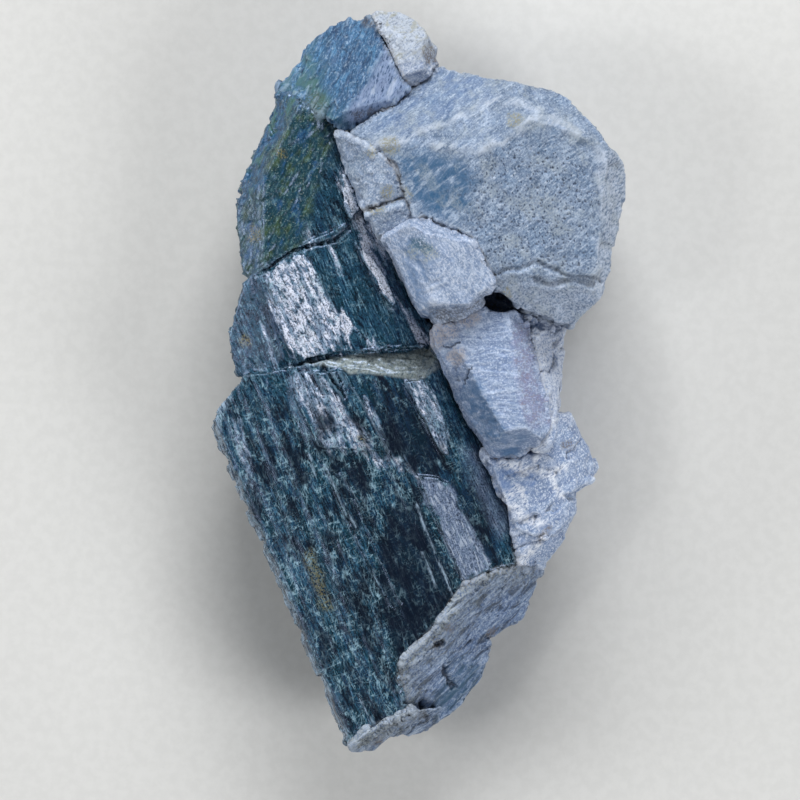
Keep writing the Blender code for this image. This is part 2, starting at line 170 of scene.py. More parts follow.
def inside(points, outline, soft):
    """1 well inside an outline in the plan and 0 well outside it, with an edge as wide as soft."""
    corners = np.array(outline, float)
    crossed = np.zeros(len(points), bool)
    for a, b in zip(corners, np.roll(corners, -1, axis=0)):
        spans = (a[1] > points[:, 1]) != (b[1] > points[:, 1])
        slope = (b[0] - a[0]) / (b[1] - a[1] if b[1] != a[1] else 1e-9)
        crossed ^= spans & (points[:, 0] < a[0] + (points[:, 1] - a[1]) * slope)
    gap = reach(points, list(outline) + [outline[0]])
    return np.clip(0.5 + np.where(crossed, gap, -gap) / soft, 0, 1)


def fade(values, low, high):
    """0 at low and 1 at high, with a smooth way between."""
    share = np.clip((values - low) / (high - low), 0, 1)
    return share * share * (3 - 2 * share)


def stains(points, *spots):
    """1 in the middle of each ragged (x, y, radius) spot and 0 outside it."""
    ragged = shaken(points, 1.0, 0.7, 71)
    away = [np.hypot(ragged[:, 0] - x, ragged[:, 1] - y) / radius for x, y, radius in spots]
    return 1 - fade(np.min(away, axis=0), 0.4, 1.0)


# The (x, y, radius) spots where the top crystal and the prism have grown over their seam.
GROWN_OVER = [(-18.0, 38.0, 3.2), (-15.4, 36.6, 3.0), (-12.8, 35.0, 2.2)]
# A neighbour further off than this doesn't count.
FAR_OFF = 3.0
# Below this height the display face has no surface, so what lies there is side or back.
HIDDEN_HEIGHT = 8.0
# Of the faces on the sides and the back, the share that is kept.
KEPT_AT_BACK = 0.12


class Surface:
    """A dense copy of a node of the solids, with edges of about a voxel. Its points are moved for the
    relief, and given numbers for the material to read."""

    def __init__(self, node, voxel):
        source = bpy.data.objects.new("source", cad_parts[node].data.copy())
        bpy.context.scene.collection.objects.link(source)
        even = source.modifiers.new("even mesh", "REMESH")
        even.mode = "VOXEL"
        even.voxel_size = voxel * MM
        mesh = self.evaluated(source)
        bpy.data.objects.remove(source)
        self.object = bpy.data.objects.new(node + "_surface", mesh)
        bpy.context.scene.collection.objects.link(self.object)
        self.node = node
        self.read()
        self.smooth(2, 0.5)
        self.gap = self.gap_to_neighbours()
        self.grown_over = stains(self.points, *GROWN_OVER)

    def evaluated(self, obj):
        """A new mesh of an object with its modifiers applied."""
        return bpy.data.meshes.new_from_object(obj.evaluated_get(bpy.context.evaluated_depsgraph_get()))

    def read(self):
        """Takes the points in mm, the normals and the edges from the mesh."""
        mesh = self.object.data
        points = np.empty(len(mesh.vertices) * 3, np.float32)
        mesh.vertices.foreach_get("co", points)
        self.points = points.reshape(-1, 3).astype(float) / MM
        normals = np.empty_like(points)
        mesh.vertex_normals.foreach_get("vector", normals)
        self.normals = normals.reshape(-1, 3).astype(float)
        edges = np.empty(len(mesh.edges) * 2, np.int32)
        mesh.edges.foreach_get("vertices", edges)
        self.edges = edges.reshape(-1, 2)

    def write(self):
        """Puts the moved points back in the mesh."""
        self.object.data.vertices.foreach_set("co", (self.points * MM).astype(np.float32).ravel())
        self.object.data.update()
        self.read()

    def blurred(self, values, rounds):
        """Values averaged with their neighbours over the mesh."""
        count = len(self.points)
        a, b = self.edges.T
        degree = np.bincount(a, minlength=count) + np.bincount(b, minlength=count)
        for _ in range(rounds):
            total = np.bincount(a, values[b], count) + np.bincount(b, values[a], count)
            values = (values + total) / (1 + degree)
        return values

    def smooth(self, rounds, share):
        """Evens the surface out; share may be one number or one for each point."""
        share = np.broadcast_to(share, len(self.points))[:, None]
        for _ in range(rounds):
            flat = np.stack([self.blurred(self.points[:, axis], 1) for axis in range(3)], axis=1)
            self.points += (flat - self.points) * share
        self.write()

    def push(self, height):
        """Moves each point out along its normal, by mm."""
        self.points += self.normals * height[:, None]
        self.write()

    def facing(self):
        """1 where the surface faces the viewer and 0 on the sides and the back."""
        return fade(self.normals[:, 2], 0.3, 0.75)

    def relief(self, rounds):
        """How far each point stands above its surroundings, in mm: ridges above 0 and hollows below."""
        flat = np.stack([self.blurred(self.points[:, axis], rounds) for axis in range(3)], axis=1)
        return ((self.points - flat) * self.normals).sum(axis=1)

    def store(self, name, values):
        """Gives each point a number that a material reads by name."""
        layer = self.object.data.attributes.new(name, "FLOAT", "POINT")
        layer.data.foreach_set("value", np.asarray(values, np.float32))

    def lighten(self, share):
        """Keeps the faces of the display side, and merges the others to a share of them."""
        hidden = (self.normals[:, 2] < 0.1) | (self.points[:, 2] < HIDDEN_HEIGHT)
        back = self.object.vertex_groups.new(name="back")
        back.add(np.nonzero(hidden)[0].tolist(), 1.0, "REPLACE")
        fewer = self.object.modifiers.new("fewer faces at the back", "DECIMATE")
        fewer.vertex_group = "back"
        fewer.ratio = 1 - hidden.mean() * (1 - share)
        self.object.data = self.evaluated(self.object)
        self.object.data.validate()
        self.object.modifiers.clear()
        self.object.vertex_groups.clear()
        self.read()

    def gap_to_neighbours(self):
        """The distance from each point to the nearest other solid, up to FAR_OFF."""
        corners, faces = [], []
        for name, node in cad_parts.items():
            if name != self.node:
                faces += [[len(corners) + index for index in face.vertices] for face in node.data.polygons]
                corners += [vertex.co / MM for vertex in node.data.vertices]
        others = BVHTree.FromPolygons(corners, faces)
        lowest = np.min(corners, axis=0) - FAR_OFF
        highest = np.max(corners, axis=0) + FAR_OFF
        gaps = np.full(len(self.points), FAR_OFF)
        for index in np.nonzero(((self.points > lowest) & (self.points < highest)).all(axis=1))[0]:
            gaps[index] = others.find_nearest(self.points[index], FAR_OFF)[3] or FAR_OFF
        return gaps

    def finish(self, material):
        """Closes the seams, gives the piece its material and puts it in the place of its node."""
        # A seam is ragged, except where it is grown over.
        open_seam = 1 - self.grown_over
        self.push(hackly(self.points, 1.1, 5) * 0.3 * (1 - fade(self.gap, 0.6, 2.0)) * open_seam)
        # The material is told of ridges and hollows of 0.1 mm, for a painted highlight and painted shade, and
        # of seams, before these close.
        self.store("relief", np.clip(self.relief(4) / 0.1, -1, 1))
        self.store("seam", (1 - fade(self.gap, 0.35, 1.1)) * open_seam)
        # Crystals grown together touch: where a neighbour is close, a wall swells half of the way to it.
        wall = 1 - fade(self.normals[:, 2], 0.1, 0.55)
        swell = (self.gap * 0.5 + 0.1) * (1 - fade(self.gap, 0.8, 1.8)) * wall
        self.push(swell + 0.45 * self.grown_over * (1 - fade(self.gap, 0.4, 2.4)))
        self.lighten(KEPT_AT_BACK)
        # No chip stands out of the box of the solids.
        self.points = np.clip(self.points, np.array(solid_box[0]) / MM, np.array(solid_box[1]) / MM)
        self.write()
        self.object.data.materials.clear()
        self.object.data.materials.append(material)
        self.object.data.shade_smooth()
        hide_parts(self.node)
        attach(self.object, "root")


# Faces that broke clean and lie tilted to the left, with how bright each one is: the colour paints a silver
# sheen and white glints on them, as painted highlight.
BRIGHT_FACES = [
    ([(-19.7, 13.9), (-18.0, 15.8), (-14.8, 16.5), (-14.0, 15.5), (-12.0, 11.5), (-10.2, 9.0), (-10.0, 3.5),
      (-13.0, 2.7), (-15.6, 2.3), (-17.0, 4.5), (-18.5, 8.0), (-19.3, 10.5)], 1.0),
    ([(-10.7, 8.2), (-10.1, 9.3), (-8.2, 7.5), (-9.1, 4.3)], 1.3),
    ([(-7.0, 4.5), (-6.0, 6.0), (-5.0, 4.0)], 1.2),
    ([(-10.6, 26.2), (-9.3, 26.4), (-7.1, 22.0), (-6.7, 20.7), (-8.4, 20.7), (-9.7, 23.3)], 1.4),
    ([(-8.4, 20.3), (-6.7, 20.7), (-4.6, 17.4), (-3.8, 15.7), (-5.9, 15.7), (-7.6, 18.2)], 1.2),
    ([(-15.6, 20.8), (-14.6, 21.0), (-13.2, 17.6), (-14.2, 17.2)], 1.0),
    ([(-11.6, 17.4), (-11.0, 17.4), (-9.4, 13.0), (-9.9, 13.0)], 1.0),
    ([(-8.0, 18.0), (-6.9, 15.8), (-3.3, 9.3), (-2.8, 9.8), (-4.0, 13.5), (-5.8, 15.9), (-6.6, 19.0)], 1.5),
    ([(-2.6, 9.8), (-1.4, 9.4), (1.6, 5.4), (1.3, 4.6), (0.2, 5.0)], 1.3),
    ([(-1.7, -0.2), (0.8, 0.2), (2.5, -2.0), (3.4, -4.5), (4.0, -7.0), (4.1, -9.9), (3.0, -9.5),
      (1.5, -6.0), (-0.2, -3.0)], 0.85),
    ([(-16.3, 0.9), (-13.0, 1.2), (-10.0, -2.5), (-8.5, -4.5), (-5.5, -8.5), (-8.0, -9.5), (-12.5, -8.5),
      (-13.5, -5.5), (-16.0, -1.5)], 0.75),
    ([(-6.8, -3.0), (-5.9, -3.4), (-3.4, -9.0), (-3.8, -9.6), (-5.4, -7.0)], 0.9),
    ([(-8.0, -8.6), (-4.2, -9.2), (-1.0, -10.8), (0.4, -11.8), (-0.4, -13.0), (-3.6, -10.8),
      (-7.8, -9.8)], 0.8),
    ([(-24.0, -4.5), (-23.1, -4.5), (-21.7, -12.0), (-22.6, -13.0)], 0.6),
    ([(-20.6, 7.5), (-19.9, 7.5), (-18.2, 2.0), (-18.9, 1.8)], 0.7),
]
# Faces that broke so clean and level that hardly any light glints on them: they are clean of scratches, and
# painted with fewer pale fibres, as painted shade.
DARK_FACES = [
    [(-8.3, 0.9), (-1.8, -0.2), (-0.5, -3.0), (0.9, -5.5), (3.0, -9.0), (3.9, -12.0), (2.5, -13.0),
     (-1.0, -11.0), (-3.5, -9.2), (-5.0, -5.0), (-6.5, -2.0)],
    [(4.5, -14.2), (7.2, -13.5), (8.5, -14.8), (9.9, -17.8), (9.0, -20.0), (10.3, -23.6), (9.7, -24.0),
     (7.2, -19.5)],
    [(-3.8, -15.5), (0.0, -15.0), (5.2, -27.6), (3.6, -31.0), (0.2, -34.5), (-2.8, -36.0), (-4.6, -31.0),
     (-5.4, -26.0)],
    [(-9.8, -11.4), (-7.4, -11.0), (-6.0, -14.0), (-7.4, -15.0)],
    [(-20.4, 11.0), (-19.0, 12.4), (-17.4, 5.0), (-16.0, 2.2), (-18.0, 2.0), (-19.6, 6.0)],
]
# Where the prism has its own skin still: a dull grey band, a fibrous right edge and the green upper end.
GREY_BAND = [(0.0, -12.5), (2.0, -13.2), (4.2, -13.5), (5.3, -15.8), (7.0, -19.0), (9.5, -24.3),
             (6.0, -26.0), (5.0, -23.5), (3.5, -20.0), (2.5, -17.5), (1.2, -16.0)]
FIBROUS_EDGE = [(5.6, -9.0), (8.4, -9.4), (9.0, -12.6), (11.0, -15.6), (13.2, -19.6), (10.4, -20.6),
                (8.8, -17.0), (7.4, -13.2)]
GREEN_MASS = [(-18.0, 41.0), (-10.8, 33.2), (-11.4, 29.0), (-13.4, 24.0), (-14.6, 20.0), (-15.6, 17.4),
              (-22.0, 13.6), (-27.0, 13.6), (-27.0, 30.0), (-22.0, 40.0)]
BLUE_RIM = [(-17.8, 40.0), (-15.6, 36.6), (-18.6, 31.6), (-20.6, 28.0), (-21.2, 24.6), (-24.4, 22.0),
            (-27.0, 22.0), (-26.0, 30.0), (-21.0, 40.0)]
# The sloping ledge in the lower crack, a plate that flaked off thin, and the left edge, whose pale band is a
# painted highlight on its bevel.
OPEN_LEDGE = [(-14.6, 2.2), (-12.5, 1.9), (-10.0, 1.7), (-9.0, 1.0), (-6.0, 0.9), (-4.0, 0.7), (-1.6, 0.3),
              (-0.3, 0.0), (1.0, 0.4), (2.5, 1.4), (3.5, 1.7), (2.3, 3.0), (1.8, 4.5), (-1.6, 3.5),
              (-8.0, 3.4), (-11.5, 2.8)]
THIN_PLATE = [(-12.4, -10.6), (-9.4, -12.6), (-2.0, -29.0), (-3.4, -30.0), (-8.6, -19.4)]
LIT_LEFT_EDGE = [(-25.0, -2.3), (-26.9, -6.2), (-25.3, -10.8), (-19.6, -24.0), (-13.0, -39.0), (-9.7, -46.5)]
# Thin pale lines where a plate ends, small wedges broken out under the lower crack, an ochre streak, and
# the step of a plate that is worn round.
PALE_LINES = [
    [(-0.2, -16.0), (1.5, -20.8), (3.2, -24.5), (4.8, -28.2)],
    [(-12.0, -11.2), (-9.5, -16.5), (-8.0, -19.0)],
    [(-9.0, -13.5), (-7.8, -15.5)],
    [(-7.5, -41.5), (-5.5, -45.0)],
    [(0.6, -22.4), (2.4, -26.8)],
    [(-14.2, -9.6), (-13.2, -12.4)],
]
WEDGES = [
    [(-15.5, 1.3), (-14.0, -0.3)],
    [(-12.2, 1.1), (-11.2, 0.7), (-9.8, -0.6)],
    [(-13.9, 0.6), (-13.0, -0.8)],
]
OCHRE_STREAK = [(-13.9, -22.6), (-13.0, -25.5), (-12.0, -29.2)]
WORN_STEP = [(-16.4, 0.6), (-16.2, -1.5), (-13.6, -5.5), (-13.4, -8.8), (-10.0, -9.4), (-6.0, -9.4),
             (-2.0, -11.4)]
CHIP_SIZE = (0.65, 1.7, 1.5)

blade = Surface("blade_crystal", PRISM_VOXEL)
blade.smooth(60, 0.9 * (1 - fade(reach(blade.points, WORN_STEP), 1.0, 2.6)) * blade.facing())
place = blade.points
grain = turned(place, PRISM_WAY)
front = blade.facing()
ragged = shaken(place, 2.0, 1.0, 11)
# Plates end in teeth that run along the prism, so what is drawn on split has toothed ends.
along = np.array([math.cos(math.radians(PRISM_WAY)), math.sin(math.radians(PRISM_WAY)), 0.0])
teeth = noise(grain, (0.3, 4.0, 2.0), 16) * 1.8 + noise(grain, (0.8, 6.0, 2.0), 18) * 1.4
split = shaken(place, (0.7, 2.0, 2.0), 0.35, 15) + teeth[:, None] * along
green = inside(ragged, GREEN_MASS, 1.5)
clean = front * (1 - green)
bright = sum(inside(split, outline, 0.35) * level for outline, level in BRIGHT_FACES) * clean
bright *= 0.5 + 0.6 * fade(rough(grain, (0.5, 4.5, 2.0), 19, 2), -0.4, 0.15)
dark = np.max([inside(split, outline, 0.8) for outline in DARK_FACES], axis=0) * clean
# Cleavage steps a few hundredths of a mm high, fine fibres, and splinters, coarser towards the cracks.
step = rough(grain, (1.2, 12.0, 3.0), 12, 3) * 3.0
height = (np.floor(step) + fade(step - np.floor(step), 0.15, 0.85)) * 0.035 * clean
height += (noise(grain, (0.45, 5.0, 2.0), 21) * 0.025 + noise(grain, (1.6, 14.0, 4.0), 22) * 0.06) * clean
height += hackly(grain, (0.6, 2.6, 1.5), 23) * (0.04 + 0.1 * fade(place[:, 1], -8.0, 2.0)) * clean
# A bright face is made of small scales that all lean left, towards the light, each a little differently.
offset, numbers = flakes(grain, CHIP_SIZE, 31)
lean = 0.27 + (numbers[:, 1] - 0.5) * 0.5
fall = (numbers[:, 2] - 0.5) * 0.24
scale_slope = offset[:, 0] * CHIP_SIZE[0] * lean + offset[:, 1] * CHIP_SIZE[1] * fall
height += scale_slope * np.clip(bright, 0, 1)
# The green end is scaly, and the sides are hackly with deep chips.
scaly = turned(place, SCALY_WAY)
scaly_relief = hackly(scaly, (0.5, 1.4, 1.2), 41) * 0.18 + hackly(scaly, (1.6, 4.0, 3.0), 42) * 0.3
height += scaly_relief * green * front
sides = 1 - front
height += (rough(place, 3.0, 51, 4) * 0.3 + hackly(grain, (0.9, 3.5, 1.4), 52) * 0.35) * sides
height -= np.maximum(hackly(place, (2.2, 2.2, 12.0), 53, 0.6), 0) * 1.6 * sides
height += hackly(place, (0.7, 0.7, 5.0), 54) * 0.35 * sides
# What stands in the display face: the ledge in the crack, the thin plate, the wedges and the pale lines.
ledge = inside(shaken(place, 0.8, 0.25, 13), OPEN_LEDGE, 0.4)
height -= 0.28 * inside(place, THIN_PLATE, 0.6) * front
height += hackly(place, (1.2, 0.5, 0.6), 56) * 0.3 * ledge
height -= 0.7 * (1 - fade(reach(split, *WEDGES), 0.1, 0.5)) * front
height += 0.03 * (1 - fade(reach(ragged, *PALE_LINES), 0.05, 0.3)) * front
blade.push(height)

blade.store("bright", bright)
blade.store("dark", dark)
blade.store("green", green)
blade.store("blue", inside(ragged, BLUE_RIM, 0.8) * green)
frayed = shaken(place, (0.9, 1.8, 2.0), 1.1, 17)
blade.store("band", inside(frayed, GREY_BAND, 0.5) + 0.5 * inside(ragged, FIBROUS_EDGE, 1.5))
blade.store("ledge", ledge)
# Handling scuffed the lower left most.
leftward = fade(-grain[:, 0] + 4.0 * rough(place, 6.0, 61, 3), -7.0, 9.0)
blade.store("scuffed", leftward * fade(-place[:, 1], 0.0, 9.0))
ochre = 0.7 * (1 - fade(reach(ragged, OCHRE_STREAK), 0.3, 1.3))
spots = stains(place, (-17.7, 29.5, 1.0), (-21.3, 19.0, 1.5), (-7.4, -7.6, 0.9), (-13.3, 36.5, 1.8),
               (-22.6, 5.2, 1.2))
blade.store("stain", np.maximum(ochre, spots))
line = 1 - fade(reach(shaken(place, 1.0, 0.2, 65), *PALE_LINES), 0.06, 0.22)
# A pale band along the left bevel: painted highlight.
edge = 1 - fade(reach(ragged, LIT_LEFT_EDGE), 0.1, 1.2)
blade.store("pale", np.maximum(line * fade(rough(grain, (0.4, 2.0, 1.0), 63, 3), -0.5, 0.2), edge))


def new_material(name, marks):
    """A material, its tree, the object coordinates and the surface's stored numbers by name."""
    material = bpy.data.materials.new(name)
    material.use_nodes = True
    tree = material.node_tree
    tree.nodes.clear()
    spot = add(tree, "ShaderNodeTexCoord").outputs["Object"]
    on = {mark: add(tree, "ShaderNodeAttribute", {"attribute_name": mark}).outputs["Fac"] for mark in marks}
    return material, tree, spot, on


def pattern(tree, spot, size, way=90.0, settings=None, kind="ShaderNodeTexNoise"):
    """A texture whose grains are size mm across, along and high, and run along a way."""
    rotation = (0.0, 0.0, math.radians(90.0 - way))
    turn = add(tree, "ShaderNodeMapping", {"Rotation": rotation, "Vector": spot})
    scale = tuple(1 / (length * MM) for length in size)
    scaled = add(tree, "ShaderNodeMapping", {"Scale": scale, "Vector": turn.outputs[0]})
    shape = {"Scale": 1.0, "Vector": scaled.outputs[0]}
    if kind == "ShaderNodeTexNoise":
        shape.update({"Detail": 4.0, "Roughness": 0.6})
    return add(tree, kind, {**shape, **(settings or {})}).outputs[0]


def coats(tree, colour, layers):
    """Coats of colour, one over the other. A coat is its colour, its strength, and gates: a gate lets the
    coat show as its value goes from low to high, and all gates of a coat must be open."""
    under, over, mixed_colour = 6, 7, 2
    for above, strength, *gates in layers:
        cover = strength
        for value, low, high in gates:
            gate = add(tree, "ShaderNodeMapRange", {"From Min": low, "From Max": high, "Value": value})
            both = {"operation": "MULTIPLY", 0: gate.outputs[0], 1: cover}
            cover = add(tree, "ShaderNodeMath", both).outputs[0]
        mix = {"data_type": "RGBA", "Factor": cover}
        for socket, hue in ((under, colour), (over, above)):
            mix[socket] = linear(hue) if isinstance(hue, str) else hue
        colour = add(tree, "ShaderNodeMix", mix).outputs[mixed_colour]
    return colour


APATITE_IOR = 1.63
# Its shine is faintly blue, because part of it comes from just under the clear skin.
BLUE_SHINE = "#c4d8ff"


def stone_shader(tree, colour, gloss, bumps):
    """Apatite's shader. gloss is a pattern and the roughness where it is low and where it is high; bumps
    are patterns with the depth in mm and the strength of each."""
    value, smooth, dull = gloss
    span = {"From Min": 0.3, "From Max": 0.8, "To Min": smooth, "To Max": dull, "Value": value}
    roughness = add(tree, "ShaderNodeMapRange", span).outputs[0]
    shader = {"Base Color": colour, "Roughness": roughness, "IOR": APATITE_IOR}
    shader["Specular Tint"] = linear(BLUE_SHINE)
    for height, depth, strength in bumps:
        bump = {"Strength": strength, "Distance": depth * MM, "Height": height}
        if "Normal" in shader:
            bump["Normal"] = shader["Normal"]
        shader["Normal"] = add(tree, "ShaderNodeBump", bump).outputs[0]
    surface = add(tree, "ShaderNodeBsdfPrincipled", shader).outputs[0]
    add(tree, "ShaderNodeOutputMaterial", {"Surface": surface})


# Vitreous apatite cleavage, scuffed: near black where it is clean, with teal depth, painted silver sheen and
# white painted glints where it leans to the light, pale fibres, more of them there as painted sheen, and a
# web of fine scratches. The real fibres are about 0.05 mm wide, and the scratches and the grit 0.02 mm: all
# are drawn some 0.1 to 0.3 mm wide, because less wouldn't show.
marks = ["bright", "dark", "green", "blue", "band", "ledge", "scuffed", "stain", "pale", "relief", "seam"]
cleavage, tree, spot, on = new_material("scuffed glassy apatite cleavage", marks)
fibre = pattern(tree, spot, (0.2, 1.6, 1.0), PRISM_WAY)
streak = pattern(tree, spot, (0.8, 5.0, 2.0), PRISM_WAY)
blotch = pattern(tree, spot, (0.5, 1.1, 0.8), PRISM_WAY + 10, {"Distortion": 0.5})
depth = pattern(tree, spot, (2.2, 5.0, 3.0), PRISM_WAY)
scales = pattern(tree, spot, (0.3, 0.8, 0.6), SCALY_WAY)
patches = pattern(tree, spot, (1.4, 3.2, 2.0), SCALY_WAY)
grit = pattern(tree, spot, (0.22, 0.22, 0.22), 90.0, {"Detail": 1.0})
scratched = pattern(tree, spot, (1.4, 2.2, 2.0), PRISM_WAY + 20)
# A pattern is raised where a mark lies: more of it then gets past the gates. On the bright faces this raises
# the painted sheen and the painted glints; the scuffs are wear.
raised = []
for mark, share, below in (("bright", 0.3, blotch), ("bright", 0.25, fibre), ("scuffed", 0.16, scratched)):
    lift = {"operation": "MULTIPLY_ADD", 0: on[mark], 1: share, 2: below}
    raised.append(add(tree, "ShaderNodeMath", lift).outputs[0])
shine, sheen, scuffs = raised
# On the dark faces fewer pale fibres show: painted shade.
lowered = {"operation": "MULTIPLY_ADD", 0: on["dark"], 1: -0.12, 2: sheen}
hush = add(tree, "ShaderNodeMath", lowered).outputs[0]
# A scratch is the narrow band about one level of a stretched noise, so it is a thin dash along its way.
SCRATCH_WAYS = ((0.5, 4.5, PRISM_WAY + 4), (0.8, 4.0, PRISM_WAY - 22), (0.8, 4.0, 22.0), (0.9, 3.0, 75.0))
scratches = [
    ("#2c566b", 0.4, (grit, 0.52, 0.66), (scuffs, 0.46, 0.62)),
    ("#03080f", 0.7, (grit, 0.48, 0.38)),
]
for width, length, way in SCRATCH_WAYS:
    line = pattern(tree, spot, (width, length, 2.0), way, {"Detail": 1.0, "Distortion": 0.1})
    shown = ((line, 0.475, 0.5), (line, 0.525, 0.5), (scuffs, 0.48, 0.68), (blotch, 0.42, 0.56))
    scratches.append(("#8fb0c0", 0.75, *shown))
scratches.append(("#030a16", 0.8, (on["scuffed"], 0.1, 0.6), (depth, 0.52, 0.4)))
scratches.append(("#040d1c", 0.7, (on["dark"], 0.2, 1.0), (on["scuffed"], 0.1, 0.6)))
moss = coats(tree, "#1a3c48", [
    ("#44562f", 0.7, (patches, 0.52, 0.64)),
    ("#2d5580", 0.7, (patches, 0.46, 0.36)),
    ("#0b171c", 0.55, (scales, 0.47, 0.36)),
    ("#5f8084", 0.7, (scales, 0.54, 0.68)),
    ("#a9bab8", 0.4, (grit, 0.6, 0.74)),
])
colour = coats(tree, "#040e1d", [
    ("#10323f", 0.9, (depth, 0.44, 0.6)),
    ("#16324c", 0.9, (streak, 0.47, 0.58)),
    ("#1f4656", 0.6, (scuffs, 0.54, 0.74), (blotch, 0.48, 0.62)),
    ("#264d63", 0.75, (on["scuffed"], 0.5, 0.0), (on["dark"], 0.6, 0.0), (blotch, 0.42, 0.58)),
    # Pale fibres: more of them show where a face leans to the light, as painted sheen.
    ("#2f5f78", 0.8, (hush, 0.5, 0.62), (streak, 0.36, 0.5)),
    ("#8fb3c2", 0.7, (on["scuffed"], 0.5, 0.0), (hush, 0.58, 0.7), (grit, 0.4, 0.54)),
    ("#7f96b8", 0.75, (hush, 0.62, 0.78), (streak, 0.42, 0.6)),
    # Painted sheen on the faces that lean to the light: silver with dark gaps, and white painted glints.
    ("#44546e", 0.75, (on["bright"], 0.1, 0.9), (fibre, 0.34, 0.5)),
    ("#aebbd4", 0.9, (on["bright"], 0.1, 0.9), (blotch, 0.4, 0.55)),
    ("#0a1220", 0.85, (on["bright"], 0.1, 0.6), (fibre, 0.44, 0.34)),
    ("#e4e9f8", 0.9, (shine, 0.74, 0.9), (fibre, 0.34, 0.48)),
    *scratches,
    (moss, 1.0, (on["green"], 0.0, 1.0)),
    ("#1a4265", 0.9, (on["blue"], 0.0, 1.0), (scales, 0.34, 0.5)),
    ("#5584a2", 0.6, (on["blue"], 0.0, 1.0), (scales, 0.52, 0.66)),
    ("#3d6457", 0.7, (on["blue"], 0.0, 1.0), (patches, 0.52, 0.62)),
    ("#5b6a84", 1.0, (on["band"], 0.0, 1.0), (grit, 0.25, 0.5)),
    ("#2c3a4c", 0.6, (on["band"], 0.0, 1.0), (blotch, 0.42, 0.34)),
    ("#9aa9bf", 0.45, (on["band"], 0.2, 1.0), (grit, 0.48, 0.7)),
    ("#b9c4d4", 0.6, (on["band"], 0.2, 1.0), (fibre, 0.52, 0.64)),
    ("#8a9494", 1.0, (on["ledge"], 0.0, 1.0), (scales, 0.25, 0.45)),
    ("#b0bcbc", 0.6, (on["ledge"], 0.2, 1.0), (blotch, 0.5, 0.64)),
    ("#5d6e78", 0.7, (on["ledge"], 0.2, 1.0), (scales, 0.5, 0.38)),
    ("#2c322e", 0.5, (on["ledge"], 0.2, 1.0), (grit, 0.46, 0.36)),
    ("#7b7242", 0.7, (on["stain"], 0.0, 1.0), (grit, 0.42, 0.58)),
    # Pale plate ends, and the painted highlight of the left bevel.
    ("#93a9bd", 0.9, (on["pale"], 0.0, 1.0), (fibre, 0.42, 0.58)),
    # Darker brownish grey along the seams.
    ("#6d6257", 0.6, (on["seam"], 0.6, 1.0), (grit, 0.4, 0.56)),
    # Painted highlight on ridges and painted shade in hollows.
    ("#93a9bd", 0.2, (on["relief"], 0.3, 1.0)),
    ("#030609", 0.4, (on["relief"], -0.3, -1.0)),
])
stone_shader(tree, colour, (fibre, 0.16, 0.42), [(fibre, 0.06, 0.35), (blotch, 0.12, 0.3)])
blade.finish(cleavage)


# The large crystal: a blocky apatite crystal with a broad satin face, etched all over with small pits.
# Growth ridges part its faces, and a blue zone shows where the left face is clear.

BLOCK_VOXEL = 0.17
FIBRE_WAY = 40.0
PALE_RIDGES = [
    [(-6.5, 30.8), (-2.0, 31.2), (3.0, 33.3), (6.0, 34.7), (9.0, 35.7), (11.0, 36.3), (13.0, 36.3),
     (15.5, 35.2)],
    [(14.5, 33.8), (17.5, 33.8), (20.0, 32.6), (22.5, 31.0), (24.3, 28.0)],
    [(2.0, 30.5), (8.0, 29.8), (12.0, 31.3), (14.5, 33.6)],
]
RIM_LINES = [
    [(24.4, 28.5), (25.3, 24.0), (24.3, 17.5), (23.4, 13.2)],
    [(23.2, 27.0), (24.2, 22.5), (23.4, 16.5)],
]
FOOT_GROOVES = [
    [(9.7, 13.6), (12.0, 14.3), (15.0, 15.2), (17.5, 14.5), (20.0, 13.3), (24.0, 13.0)],
    [(15.0, 12.9), (17.5, 12.4), (20.0, 12.9), (23.0, 12.4)],
]
UPPER_FACE = [(-6.5, 31.5), (-2.0, 32.0), (4.0, 34.5), (10.0, 37.0), (9.0, 39.6), (2.0, 41.0)]
BLUE_FACE = [(-3.6, 29.8), (1.0, 29.6), (6.0, 28.3), (7.4, 25.5), (6.8, 22.4), (4.8, 20.4), (0.4, 22.4),
             (-2.6, 27.0)]
PITTED_FACE = [(5.6, 20.0), (6.8, 27.0), (12.0, 31.0), (20.0, 30.0), (24.0, 24.0), (22.6, 14.0),
               (10.0, 13.4)]
RIM_FACE = [(24.0, 30.4), (27.5, 28.0), (27.5, 22.0), (24.0, 10.0), (22.6, 13.0), (24.0, 19.0),
            (23.4, 27.0)]
# The few stretches where the crystals have come apart: the seam is painted black, as the shade in it.
OPEN_SEAMS = [
    [(-5.0, 33.6), (-2.0, 36.0), (0.4, 37.9), (-2.0, 40.6)],
    [(-3.4, 27.6), (-1.6, 23.6)],
    [(1.4, 21.1), (4.0, 20.0), (6.4, 19.0), (7.6, 16.8)],
    [(-6.5, 21.4), (-4.9, 22.2)],
]


def cracks(surface, seed):
    """1 along the stretches of this crystal's seams that stand open, and 0 elsewhere."""
    near = 1 - fade(reach(surface.points, *OPEN_SEAMS), 0.8, 1.8)
    return near * (1 - fade(surface.gap + 0.3 * rough(surface.points, 1.0, seed), 0.35, 0.75))


# The radius of a pit, as a share of its space. Real pits are finer, about 0.1 to 0.3 mm across.
PIT_RADIUS = 0.42


def pits(points, size, seed, share):
    """Small etched hollows: 1 in the middle of a pit and 0 outside, on a share of the scattered places."""
    offset, numbers = flakes(points, size, seed)
    depth = 1 - np.sqrt((offset**2).sum(axis=1)) / PIT_RADIUS
    return np.clip(depth, 0, 1) * (numbers[:, 1] < share)


large = Surface("large_crystal", BLOCK_VOXEL)
place = large.points
front = large.facing()
ragged = shaken(place, 2.0, 0.7, 81)
pitted = inside(ragged, PITTED_FACE, 3.0) * front
ridge = 1 - fade(reach(shaken(place, 1.5, 0.6, 82), *PALE_RIDGES), 0.1, 1.2)
groove = 1 - fade(reach(ragged, *FOOT_GROOVES), 0.1, 0.7)
rim = 1 - fade(reach(ragged, *RIM_LINES), 0.1, 0.6)
